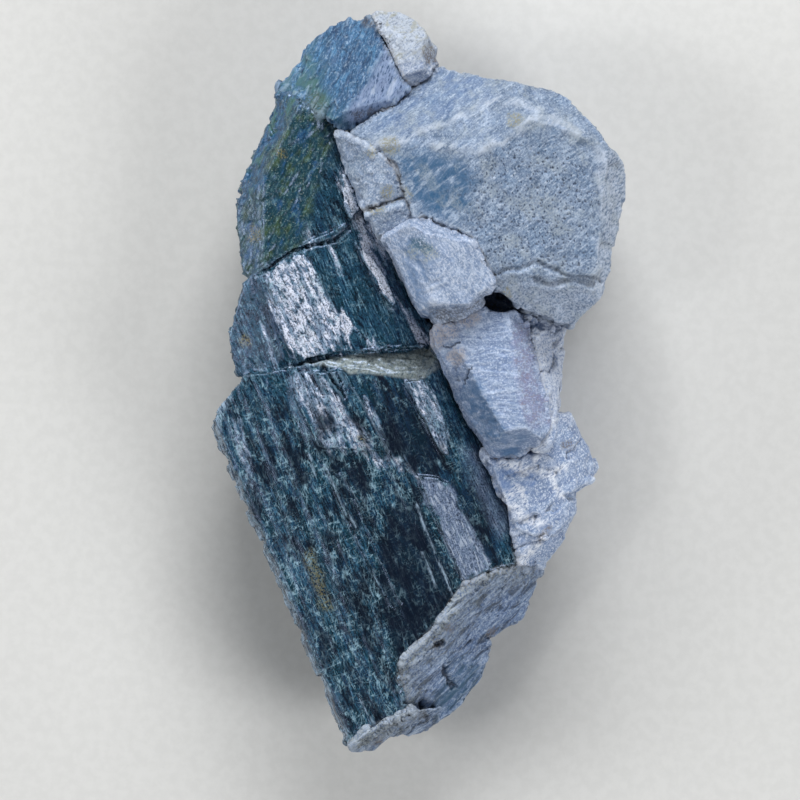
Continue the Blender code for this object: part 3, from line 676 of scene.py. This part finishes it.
# Broad and fine unevenness, then the ridges, the rim and the grooves, the pits, and last the broken sides.
height = rough(place, 5.0, 84) * 0.3 + rough(place, 1.3, 85, 3) * 0.12
height += hackly(turned(place, FIBRE_WAY), (0.7, 1.4, 1.2), 86) * 0.12
height += (ridge * 0.14 + rim * 0.1 - groove * 0.3) * front
height -= pits(place, (0.8, 0.55, 0.8), 87, 0.5) * 0.26 * (0.2 + pitted)
height += (hackly(place, (2.2, 2.2, 3.0), 88) * 0.5 + hackly(place, 0.9, 89) * 0.2) * (1 - front)
height -= np.maximum(hackly(place, (2.2, 2.2, 12.0), 92, 0.6), 0) * 0.9 * (1 - front)
large.push(height)
large.store("pitted", pitted)
large.store("upper", inside(ragged, UPPER_FACE, 1.5) * front)
large.store("ridge", np.maximum(ridge * fade(rough(place, 2.5, 90), -0.7, 0.3), rim * 0.7) * front)
large.store("blue", inside(ragged, BLUE_FACE, 2.0) * front)
large.store("rim", inside(ragged, RIM_FACE, 1.0))
large.store("foot", 1 - fade(place[:, 1] + rough(place, 2.0, 91), 11.5, 14.5))
# Painted shade: black in the open seams, and dark in the grooves across the foot.
large.store("shaded_crack", np.maximum(groove * 0.6, cracks(large, 83)))
spots = stains(place, (-3.6, 30.6, 1.6), (-1.4, 24.2, 1.0), (11.6, 11.6, 1.0), (12.6, 33.6, 1.4))
large.store("ochre", spots)


def mixed(first, second):
    """The sRGB hex colour half-way between two."""
    halves = [(int(first[i : i + 2], 16) + int(second[i : i + 2], 16)) // 2 for i in (1, 3, 5)]
    return "#" + "".join("%02x" % half for half in halves)


def satin_crystal(name, ground, marks, layers, way=FIBRE_WAY, sugar=0.5):
    """Satin apatite. Over its ground come cloudy shade, short fibres that run one way, and sugary grains
    both paler and darker than it. The layers paint the marks of this face on top, then come a darker
    brownish grey along the seams, a painted highlight on ridges and painted shade in hollows. A gate names
    its mark or pattern, and sugar is how strong the pale grains are. The real grains and fibres are about
    0.05 to 0.1 mm, and are drawn two to four times as coarse to show."""
    material, tree, spot, on = new_material(name, marks + ["relief", "seam"])
    on["cloud"] = pattern(tree, spot, (3.5, 2.5, 3.0), way)
    on["fibre"] = pattern(tree, spot, (0.22, 0.7, 0.5), way)
    on["wisp"] = pattern(tree, spot, (0.9, 3.0, 2.0), way, {"Distortion": 0.6})
    on["grain"] = pattern(tree, spot, (0.26, 0.24, 0.26), 15.0, {"Detail": 2.0})
    on["speck"] = pattern(tree, spot, (0.62, 0.42, 0.5), 15.0, None, "ShaderNodeTexVoronoi")
    deep, shade, pale, white = ground
    painted = [
        (shade, 0.8, ("cloud", 0.46, 0.36)),
        (pale, 0.35, ("cloud", 0.52, 0.66)),
        (pale, 0.7, ("wisp", 0.52, 0.64)),
        (deep, 0.7, ("wisp", 0.46, 0.34)),
        (deep, 0.7, ("fibre", 0.47, 0.35)),
        (white, 0.55, ("fibre", 0.55, 0.7)),
        (deep, 0.65, ("grain", 0.46, 0.3)),
        (white, sugar, ("grain", 0.53, 0.66)),
        *layers,
        # Darker brownish grey along the seams.
        ("#5f5a58", 0.55, ("seam", 0.4, 1.0), ("grain", 0.42, 0.56)),
        # Painted highlight on ridges and painted shade in hollows.
        (white, 0.3, ("relief", 0.2, 0.9)),
        ("#10151d", 0.6, ("relief", -0.2, -0.9)),
    ]
    wired = []
    for hue, strength, *gates in painted:
        wired.append((hue, strength, *[(on[key], low, high) for key, low, high in gates]))
    colour = coats(tree, mixed(deep, pale), wired)
    bumps = [(on["grain"], 0.1, 0.5), (on["fibre"], 0.16, 0.4)]
    stone_shader(tree, colour, (on["grain"], 0.4, 0.62), bumps)
    return material


# Satin apatite, etched: an even steel-grey sheen, broken by dark pinholes, pale ridges and a clear blue zone,
# with painted shade in its open seams and foot grooves.
STEEL = ("#475a72", "#7187a2", "#9dadc2", "#cbd5e2")
large.finish(satin_crystal(
    "satin etched apatite", STEEL, ["pitted", "upper", "ridge", "blue", "rim", "foot", "shaded_crack", "ochre"], [
        ("#5f7aa6", 0.4, ("upper", 0.0, 1.0), ("wisp", 0.6, 0.4)),
        ("#1d4e72", 0.85, ("blue", 0.0, 1.0), ("wisp", 0.7, 0.46)),
        ("#bcc4cf", 0.6, ("ridge", 0.1, 1.0), ("wisp", 0.38, 0.56)),
        ("#bcc5d4", 0.6, ("rim", 0.0, 1.0), ("fibre", 0.4, 0.56)),
        ("#b0b8c8", 0.45, ("foot", 0.0, 1.0), ("grain", 0.36, 0.54)),
        ("#8e9698", 0.45, ("cloud", 0.5, 0.62), ("grain", 0.3, 0.55)),
        ("#1f2c42", 0.85, ("pitted", -0.4, 1.0), ("speck", 0.32, 0.14)),
        ("#7d7540", 0.7, ("ochre", 0.0, 1.0), ("grain", 0.38, 0.6)),
        ("#1a1713", 0.85, ("shaded_crack", 0.3, 1.0)),
    ], sugar=0.3))


# The middle crystal and the two small blocks beside the prism: stubby satin apatite crystals. Growth ripples
# run round the middle one, its left face is bluish, and its foot, which faces down where it meets the others,
# is painted dark brown as shade.

BLUE_LEFT_FACE = [(-3.0, 18.2), (-0.6, 18.4), (1.3, 15.8), (1.6, 12.5), (2.2, 9.8), (4.2, 8.3), (1.5, 7.6),
                  (0.2, 8.6)]
SHADED_FOOT = [(2.0, 10.0), (4.0, 9.2), (6.5, 9.9), (8.8, 11.6), (9.6, 11.6), (8.0, 9.4), (4.2, 7.4),
             (1.6, 7.6)]
RIPPLE_CENTRE = (2.0, 15.0)
# In radians for each mm, which puts the ripples 0.9 mm apart.
RIPPLE_RATE = 7.0
MIDDLE_WAY = -52.0
middle = Surface("middle_crystal", BLOCK_VOXEL)
place = middle.points
front = middle.facing()
ragged = shaken(place, 1.5, 0.5, 91)
swirl = np.hypot(place[:, 0] - RIPPLE_CENTRE[0], (place[:, 1] - RIPPLE_CENTRE[1]) * 0.8)
swirl += rough(place, 3.0, 92) * 1.2
ripple = np.sin(swirl * RIPPLE_RATE) * fade(rough(place, 2.5, 93), -0.3, 0.5)
height = rough(place, 3.0, 94) * 0.25 + rough(place, 0.9, 95, 3) * 0.1 + ripple * 0.04 * front
height += hackly(place, 1.4, 96) * 0.3 * (1 - front)
middle.push(height)
middle.store("ripple", ripple * front)
middle.store("blue", inside(ragged, BLUE_LEFT_FACE, 1.0))
middle.store("teal", stains(place, (0.1, 17.7, 1.5), (1.0, 17.0, 1.0)))
middle.store("halo", stains(place, (1.4, 16.4, 1.6), (-0.6, 16.6, 1.2)))
# The foot faces down under the others: its dark brown, stored as stain, is painted shade.
middle.store("stain", inside(ragged, SHADED_FOOT, 1.0))
# Satin apatite, rippled as it grew: faint pale rings on grey, one clear blue face, and a foot painted dark
# brown as shade.
middle.finish(satin_crystal(
    "satin rippled apatite", ("#647896", "#8b9cb9", "#b2bfd4", "#dbe1eb"),
    ["ripple", "blue", "halo", "teal", "stain"], [
        ("#c0cad9", 0.4, ("ripple", 0.1, 0.9)),
        ("#4c6c91", 0.7, ("blue", 0.0, 1.0), ("wisp", 0.6, 0.42)),
        ("#8f927c", 0.5, ("halo", 0.0, 1.0), ("grain", 0.4, 0.58)),
        ("#2f5566", 0.9, ("teal", 0.0, 1.0), ("grain", 0.7, 0.45)),
        ("#575450", 0.75, ("stain", 0.0, 1.0), ("fibre", 0.62, 0.42)),
    ], MIDDLE_WAY))

# Satin apatite as it grew: plain grey, warmed by ochre and pinkish dust beside the prism, and painted black
# as shade where a seam stands open.
BLOCKS = (("upper_block_crystal", 101, [(-3.9, 24.4, 1.3), (-6.0, 29.6, 1.0)]),
          ("lower_block_crystal", 111, [(-5.3, 22.4, 1.4), (-3.4, 23.6, 0.8)]))
for node, seed, ochre in BLOCKS:
    block = Surface(node, BLOCK_VOXEL)
    place = block.points
    front = block.facing()
    height = rough(place, 2.0, seed) * 0.2 + hackly(place, 1.3, seed + 5) * (0.25 + 0.3 * (1 - front))
    block.push(height)
    block.store("ochre", stains(place, *ochre))
    block.store("shaded_crack", cracks(block, seed + 8))
    block.store("pink", fade(-place[:, 0] - 0.38 * place[:, 1] + rough(place, 1.5, seed + 9), 16.8, 18.4))
    block.finish(satin_crystal(
        "satin apatite with ochre seams", ("#5f7290", "#8ba0b9", "#b0bfd1", "#d8dfe8"),
        ["ochre", "shaded_crack", "pink"], [
            ("#a39c9d", 0.8, ("pink", 0.0, 1.0), ("grain", 0.3, 0.5)),
            ("#7d7540", 0.75, ("ochre", 0.0, 1.0), ("grain", 0.38, 0.58)),
            ("#1a1713", 0.85, ("shaded_crack", 0.3, 1.0)),
        ]))


# The lower crystal: it leans out over a dark hollow, with small level ledges across its front face.
# Its left face is blue and clear, and its right face lilac with streaks down its length.

LOWER_LEFT_FACE = [(6.9, 0.8), (8.2, 0.0), (9.3, -1.9), (10.3, -4.5), (11.6, -6.8), (14.5, -7.0),
                   (12.0, -11.0), (8.0, -6.6), (5.4, -2.0)]
LOWER_RIGHT_FACE = [(12.2, 7.8), (12.4, 2.0), (13.0, -2.0), (14.6, -6.2), (17.4, -5.6), (15.8, 0.0),
                    (14.4, 7.4)]
LOWER_CRACKS = [[(3.3, 4.6), (4.2, 4.3), (5.6, 5.1)], [(6.9, 1.6), (6.5, 1.0), (6.1, -0.4)]]
LOWER_WAY = 10.0
lower = Surface("lower_crystal", BLOCK_VOXEL)
place = lower.points
front = lower.facing()
ragged = shaken(place, 1.5, 0.5, 120)
# Level ledges, a little over 1 mm apart.
drop = place[:, 1] * 0.9 + rough(place, (5.0, 1.5, 2.0), 121, 3) * 2.4
terrace = (np.floor(drop) + fade(drop - np.floor(drop), 0.2, 0.9) - drop) * 0.18
fibres = noise(turned(place, PRISM_WAY), (0.5, 4.0, 2.0), 122)
right = inside(ragged, LOWER_RIGHT_FACE, 0.8)
# Short cracks, cut in and painted black as the shade in them.
shaded_crack = 0.7 * (1 - fade(reach(shaken(place, 0.5, 0.35, 119), *LOWER_CRACKS), 0.03, 0.22))
height = rough(place, 3.0, 123) * 0.25 + rough(place, 0.9, 124, 3) * 0.12
height += terrace * front * (1 - right) + fibres * 0.14 * right - shaded_crack * 0.3
height += hackly(place, 1.4, 125) * 0.35 * (1 - front)
lower.push(height)
lower.store("blue", inside(ragged, LOWER_LEFT_FACE, 1.0))
lower.store("lilac", right)
lower.store("shaded_crack", shaded_crack)
lower.store("ledge", fade(drop - np.floor(drop), 0.55, 0.95) * front * (1 - right))
lower.store("cream", stains(place, (3.4, 7.0, 2.6), (2.4, 5.4, 1.8), (6.6, 8.2, 2.0), (5.0, 3.0, 1.6)))
# Satin apatite, grown in small ledges: pale rungs on the front, a clear blue left face and a streaky lilac
# right one, with cream dust where the rock begins.
lower.finish(satin_crystal(
    "satin ledged apatite", ("#5b6f92", "#7687a8", "#a0afc9", "#ced7e5"),
    ["blue", "lilac", "shaded_crack", "ledge", "cream"], [
        ("#b7c5d8", 0.45, ("ledge", 0.0, 1.0), ("wisp", 0.4, 0.56)),
        ("#44698f", 0.75, ("blue", 0.0, 1.0), ("wisp", 0.66, 0.42)),
        ("#7a7a9e", 0.6, ("lilac", 0.0, 1.0), ("wisp", 0.6, 0.4)),
        ("#aab4cf", 0.6, ("lilac", 0.0, 1.0), ("fibre", 0.52, 0.62)),
        ("#94837f", 0.4, ("lilac", 0.0, 1.0), ("fibre", 0.48, 0.38)),
        ("#a9a3a3", 0.75, ("cream", 0.0, 1.0), ("grain", 0.34, 0.54)),
        ("#1a1713", 0.9, ("shaded_crack", 0.3, 1.0)),
    ], LOWER_WAY))


# The top crystal: a blue apatite crystal whose left face is deeply fluted and whose right face is smooth.
# Its outer edge is green-blue and flaky, and has grown over onto the prism.

SMOOTH_FACE = [(-9.4, 34.9), (-8.0, 36.5), (-6.0, 39.5), (-4.5, 43.0), (-4.0, 44.4), (-2.4, 41.0),
               (-0.4, 37.5), (-4.5, 33.6), (-6.5, 33.0), (-9.4, 33.6)]
FLUTE_WAY = 68.0
top = Surface("top_crystal", BLOCK_VOXEL)
place = top.points
front = top.facing()
ragged = shaken(place, 1.5, 0.6, 131)
smooth = inside(ragged, SMOOTH_FACE, 0.8)
fluted = turned(place, FLUTE_WAY)
flaky = fade(-place[:, 0] - 0.25 * place[:, 1] + rough(place, 3.0, 133) * 2, 0.0, 4.0)
flutes = noise(fluted, (0.6, 4.0, 2.5), 134) * 0.3 + noise(fluted, (0.35, 2.2, 1.5), 135) * 0.12
height = (flutes + hackly(fluted, (0.9, 2.4, 1.5), 136) * (0.35 + 0.3 * flaky)) * (1 - 0.8 * smooth)
height += rough(place, 3.0, 137) * 0.2 + rough(place, 0.9, 138, 3) * 0.1
height += hackly(place, 1.6, 139) * 0.4 * (1 - front)
height -= np.maximum(hackly(place, (2.0, 2.0, 12.0), 140, 0.6), 0) * 1.4 * (1 - front)
top.push(height)
green = np.maximum(flaky * 0.9, stains(place, (-13.2, 36.2, 2.6), (-13.6, 38.8, 1.4), (-16.0, 38.4, 1.2)))
top.store("smooth", smooth)
top.store("green", green * front)
top.store("brown", stains(place, (-13.3, 36.4, 1.8), (-12.6, 35.2, 1.4)))
spots = stains(place, (-7.6, 34.6, 1.1), (-6.0, 34.8, 0.8), (-6.0, 46.8, 1.6), (-3.4, 43.6, 0.7))
top.store("dusty", spots)
# Clear blue apatite, fluted as it grew: deep blue between glinting pale ribs, milky lilac on the smooth face.
top.finish(satin_crystal(
    "fluted blue apatite", ("#112d4c", "#245079", "#4c80a8", "#b0c5d8"),
    ["smooth", "green", "brown", "dusty"], [
        ("#8c9cbc", 0.8, ("smooth", 0.0, 1.0), ("fibre", 0.34, 0.5)),
        ("#c2ccdc", 0.5, ("smooth", 0.0, 1.0), ("wisp", 0.54, 0.66)),
        ("#35606a", 0.85, ("green", 0.0, 1.0), ("wisp", 0.64, 0.44)),
        ("#4a6a5c", 0.6, ("green", 0.3, 1.0), ("cloud", 0.5, 0.62)),
        ("#3a4a38", 0.8, ("brown", 0.0, 1.0), ("grain", 0.66, 0.46)),
        ("#4c443c", 0.7, ("dusty", 0.0, 1.0), ("grain", 0.36, 0.54)),
    ], FLUTE_WAY, sugar=0.15))


# The cap: a small apatite knob under a rough cream crust, which weathering left on it.
# Blue-grey crystal shows at its foot, where the crust has worn off.

CAP_VOXEL = 0.16
cap = Surface("cap_crystal", CAP_VOXEL)
place = cap.points
crust = fade(place[:, 1] + rough(place, 2.0, 144) * 1.8 - place[:, 0] * 0.3, 40.8, 43.6)
height = hackly(place, 1.3, 141) * 0.35 + hackly(place, 0.5, 142) * 0.12 + rough(place, 2.0, 143) * 0.25
cap.push(height * (0.35 + 0.65 * crust))
cap.store("crust", crust)
cap.store("brown", stains(place, (1.5, 42.8, 1.3), (1.9, 41.8, 0.9), (-3.6, 43.0, 0.7), (-5.4, 46.2, 0.8)))
# Weathered apatite crust: matt and cream-grey, with ochre wisps and warm brown specks.
cap.finish(satin_crystal(
    "weathered cream apatite crust", ("#66748f", "#8b97ae", "#abb6c8", "#dfe3e6"), ["crust", "brown"], [
        ("#b6bfca", 0.85, ("crust", 0.0, 1.0), ("grain", 0.28, 0.5)),
        ("#7a828e", 0.65, ("crust", 0.0, 1.0), ("fibre", 0.48, 0.36)),
        ("#8d8a6c", 0.55, ("crust", 0.0, 1.0), ("wisp", 0.52, 0.62)),
        ("#4d4236", 0.85, ("brown", 0.0, 1.0), ("grain", 0.4, 0.56)),
    ]))


# The matrix: the fine-grained pale rock that the crystals grew on, with white veins and one bluish lump.
# It broke away from its wall on all sides, so it is lumpy, with its crevices and hollows painted dark brown
# as shade, and a few brown stains.

MATRIX_VOXEL = 0.19
MATRIX_WAY = 35.0
WHITE_VEINS = [
    [(11.0, -10.8), (14.0, -11.6), (17.5, -12.0), (19.0, -11.0)],
    [(12.4, -16.4), (14.0, -17.6), (16.4, -18.6)],
    [(16.4, -20.4), (14.8, -22.2), (13.2, -23.8)],
    [(15.6, -10.4), (16.2, -7.0), (17.2, -5.0)],
    [(17.4, -12.4), (18.6, -15.0)],
    [(11.4, -15.2), (13.2, -14.4), (14.0, -16.0)],
]
BLUE_LUMP = [(9.8, -10.4), (13.0, -10.8), (15.4, -12.4), (14.6, -15.6), (11.6, -15.8)]
CREVICES = [
    [(8.4, -10.6), (9.0, -12.9), (10.6, -15.0)],
    [(15.8, -20.8), (17.4, -19.4)],
    [(6.4, -4.9), (9.6, -9.3)],
]
matrix = Surface("matrix", MATRIX_VOXEL)
place = matrix.points
front = matrix.facing()
ragged = shaken(place, 1.5, 0.8, 150)
broken = hackly(turned(place, MATRIX_WAY), (2.0, 3.6, 3.0), 151, 0.45) * 0.9 + hackly(place, 1.2, 152) * 0.2
height = broken * (1 - 0.6 * inside(ragged, BLUE_LUMP, 1.0)) + rough(place, 0.8, 153, 3) * 0.05
height -= np.maximum(hackly(place, (2.0, 2.0, 12.0), 156, 0.6), 0) * 0.9 * (1 - front)
matrix.push(matrix.blurred(height, 1) + 0.1)
matrix.store("vein", 1 - fade(reach(ragged, *WHITE_VEINS), 0.1, 0.9))
matrix.store("blue", inside(ragged, BLUE_LUMP, 1.0))
right = fade(place[:, 0] + rough(place, 2.5, 155) * 2.5 - 14.5, -0.5, 1.5)
matrix.store("cream", right * fade(place[:, 1], -7.0, -3.0))
# The brown is painted shade in the crevices and in the hollows under the other crystals, and stain in a few
# spots.
crevice_shade = 1 - fade(reach(ragged, *CREVICES), 0.1, 0.7)
spots = stains(place, (10.6, -9.6, 0.8), (9.4, 9.0, 2.5), (2.0, 8.0, 1.5), (-8.4, 32.4, 2.4),
               (19.6, -8.4, 1.0))
matrix.store("brown", np.maximum(crevice_shade, spots))
# Broken fine-grained rock: pale and sugary, because light scatters in its many small grains.
matrix.finish(satin_crystal(
    "broken fine-grained rock", ("#5c7095", "#7f94b6", "#abbbd3", "#e2e9f2"),
    ["vein", "blue", "cream", "brown"], [
        ("#5d7fb4", 0.6, ("blue", 0.0, 1.0), ("wisp", 0.6, 0.42)),
        ("#c4cad6", 0.65, ("cream", 0.0, 1.0), ("grain", 0.34, 0.54)),
        ("#e6eaf1", 0.85, ("vein", 0.0, 1.0), ("fibre", 0.38, 0.56)),
        ("#4f4339", 0.8, ("brown", 0.0, 1.0), ("grain", 0.36, 0.56)),
    ], MATRIX_WAY, sugar=0.7))


# The foot ledge: a broken step of fibrous grey-blue apatite along the lower right of the prism.
# Its crest is beige where it meets the prism, and its fibres run along the crest.

FOOT_CREST = [(12.8, -24.2), (10.2, -24.9), (8.0, -25.9), (6.2, -26.7), (4.0, -30.2), (1.9, -33.0),
              (-0.9, -35.2), (-2.2, -37.4), (-2.0, -39.0), (-1.2, -42.6), (-4.3, -44.8), (-8.0, -46.9)]
DARK_SLOTS = [[(3.5, -37.5), (4.0, -38.8), (4.6, -40.0)], [(0.5, -42.2), (0.9, -43.2), (1.3, -44.3)],
              [(1.9, -34.6), (3.4, -34.2)]]
FOOT_BLUE = [(4.6, -36.6), (8.6, -37.0), (7.4, -41.0), (3.4, -44.6), (2.0, -42.0)]
FOOT_WAY = 42.0
foot = Surface("foot_ledge", BLOCK_VOXEL)
place = foot.points
front = foot.facing()
ragged = shaken(place, 1.5, 0.6, 160)
fibres = turned(shaken(place, 4.0, 0.8, 161), FOOT_WAY)
away = reach(ragged, FOOT_CREST)
crest = 0.5 * (1 - fade(away, 0.2, 1.3)) + 0.5 * (1 - fade(away, 1.5, 4.5))
# Split terraces, about 1.5 mm wide, with splinters on them.
split = fibres[:, 0] * 0.7 + rough(fibres, (1.5, 8.0, 3.0), 167, 2) * 1.2
height = (np.floor(split) + fade(split - np.floor(split), 0.1, 0.9) - split) * 0.35
height += hackly(fibres, (0.6, 3.4, 1.6), 162) * 0.5 + noise(fibres, (0.4, 4.0, 1.5), 163) * 0.2
height += hackly(place, 0.8, 164) * 0.1 + rough(place, 3.0, 165) * 0.3
# Dark slots between the fibres: cut in, and painted near black as the shade in them.
slot = 1 - fade(reach(shaken(place, 0.8, 0.6, 168), *DARK_SLOTS), 0.05, 0.5)
height -= slot * 0.7 * front
foot.push(height + 0.1)
foot.store("crest", crest)
foot.store("blue", inside(ragged, FOOT_BLUE, 2.5))
foot.store("slot", slot)
spots = stains(place, (2.6, -34.4, 1.0), (4.2, -32.2, 0.9), (9.8, -33.0, 1.2), (-5.0, -47.0, 1.0))
foot.store("brown", spots)
# Broken fibrous apatite: streaky and dull, dark between its fibres, blue where clear, beige on its crest,
# with painted shade in its slots.
foot.finish(satin_crystal(
    "broken fibrous apatite", ("#33486a", "#526a92", "#8097b8", "#c0ccdc"),
    ["crest", "blue", "slot", "brown"], [
        ("#1a2737", 0.85, ("wisp", 0.49, 0.4)),
        ("#a9b6c8", 0.6, ("wisp", 0.55, 0.66), ("fibre", 0.4, 0.55)),
        ("#27536f", 0.75, ("blue", 0.0, 1.0), ("wisp", 0.62, 0.42)),
        ("#8d938f", 0.75, ("crest", 0.0, 1.0), ("grain", 0.34, 0.54)),
        ("#232a33", 0.6, ("crest", 0.0, 1.0), ("fibre", 0.47, 0.38)),
        ("#5b4d3b", 0.7, ("brown", 0.0, 1.0), ("grain", 0.38, 0.56)),
        ("#0b0f14", 0.85, ("slot", 0.2, 1.0)),
    ], FOOT_WAY))


# The table that the specimen lies on: a large sheet of matt pale paper, laid flat.
# It is wide enough to fill the view from any side.

TABLE_REACH = 3000.0 * MM
table_corners = [(TABLE_REACH * x, TABLE_REACH * y, 0) for x, y in ((-1, -1), (1, -1), (1, 1), (-1, 1))]
floor_mesh = bpy.data.meshes.new("floor")
floor_mesh.from_pydata(table_corners, [], [(0, 1, 2, 3)])
floor = bpy.data.objects.new("floor", floor_mesh)
bpy.context.scene.collection.objects.link(floor)
# Uncoated paper, pressed flat: its pulp gives a faint uneven tone and no shine. The real clumps of pulp are
# under 1 mm, and are drawn a little coarser.
paper, tree, spot, _ = new_material("matt pale paper", [])
pulp = pattern(tree, spot, (1.5, 1.5, 1.5))
tone = coats(tree, "#cdcdcb", [("#d1d1cf", 1.0, (pulp, 0.4, 0.6))])
matt = add(tree, "ShaderNodeBsdfPrincipled", {"Base Color": tone, "Roughness": 0.9})
add(tree, "ShaderNodeOutputMaterial", {"Surface": matt.outputs[0]})
floor_mesh.materials.append(paper)


# The light: three soft boxes low on the sides, so that the glassy faces don't mirror them, and a small one
# that lights up the faces that lean to the left. The room is dim and faintly blue.


def soft_box(name, position, size, power):
    """A rectangle of light at a position in metres, turned to the specimen, with its power in watts."""
    light = bpy.data.lights.new(name, "AREA")
    light.shape = "RECTANGLE"
    light.size, light.size_y = size
    light.energy = power
    lamp = bpy.data.objects.new(name, light)
    bpy.context.scene.collection.objects.link(lamp)
    lamp.location = position
    middle_of_specimen = (solid_box[0] + solid_box[1]) / 2
    lamp.rotation_euler = (middle_of_specimen - lamp.location).to_track_quat("-Z", "Y").to_euler()


soft_box("upper soft box", (0.05, 0.62, 0.42), (0.45, 0.35), 5.9)
soft_box("left soft box", (-0.64, 0.05, 0.27), (0.3, 0.4), 2.3)
soft_box("right soft box", (0.5, -0.35, 0.45), (0.3, 0.4), 3.2)
soft_box("left glint box", (-0.4, -0.12, 0.62), (0.1, 0.1), 0.5)
ROOM_COLOUR = (0.9, 0.95, 1.0, 1.0)
ROOM_STRENGTH = 0.12
world = bpy.data.worlds.new("grey room")
world.use_nodes = True
world.node_tree.nodes["Background"].inputs["Color"].default_value = ROOM_COLOUR
world.node_tree.nodes["Background"].inputs["Strength"].default_value = ROOM_STRENGTH
bpy.context.scene.world = world
bpy.context.scene.view_settings.view_transform = "Standard"


# The camera: it looks straight down on the display face through a long lens, from so far off that near and
# far parts keep their sizes. FACE_HEIGHT is the level at which the view is VIEW_WIDTH wide.

VIEW_CENTRE = (-2.275, -2.535)
VIEW_WIDTH = 104.0
CAMERA_HEIGHT = 1500.0
VIEW_DEPTH = 10000.0
FACE_HEIGHT = 23.0
camera_data = bpy.data.cameras.new("camera")
camera_data.lens = camera_data.sensor_width * (CAMERA_HEIGHT - FACE_HEIGHT) / VIEW_WIDTH
camera_data.clip_end = VIEW_DEPTH * MM
camera = bpy.data.objects.new("camera", camera_data)
camera.location = (VIEW_CENTRE[0] * MM, VIEW_CENTRE[1] * MM, CAMERA_HEIGHT * MM)
bpy.context.scene.collection.objects.link(camera)
bpy.context.scene.camera = camera
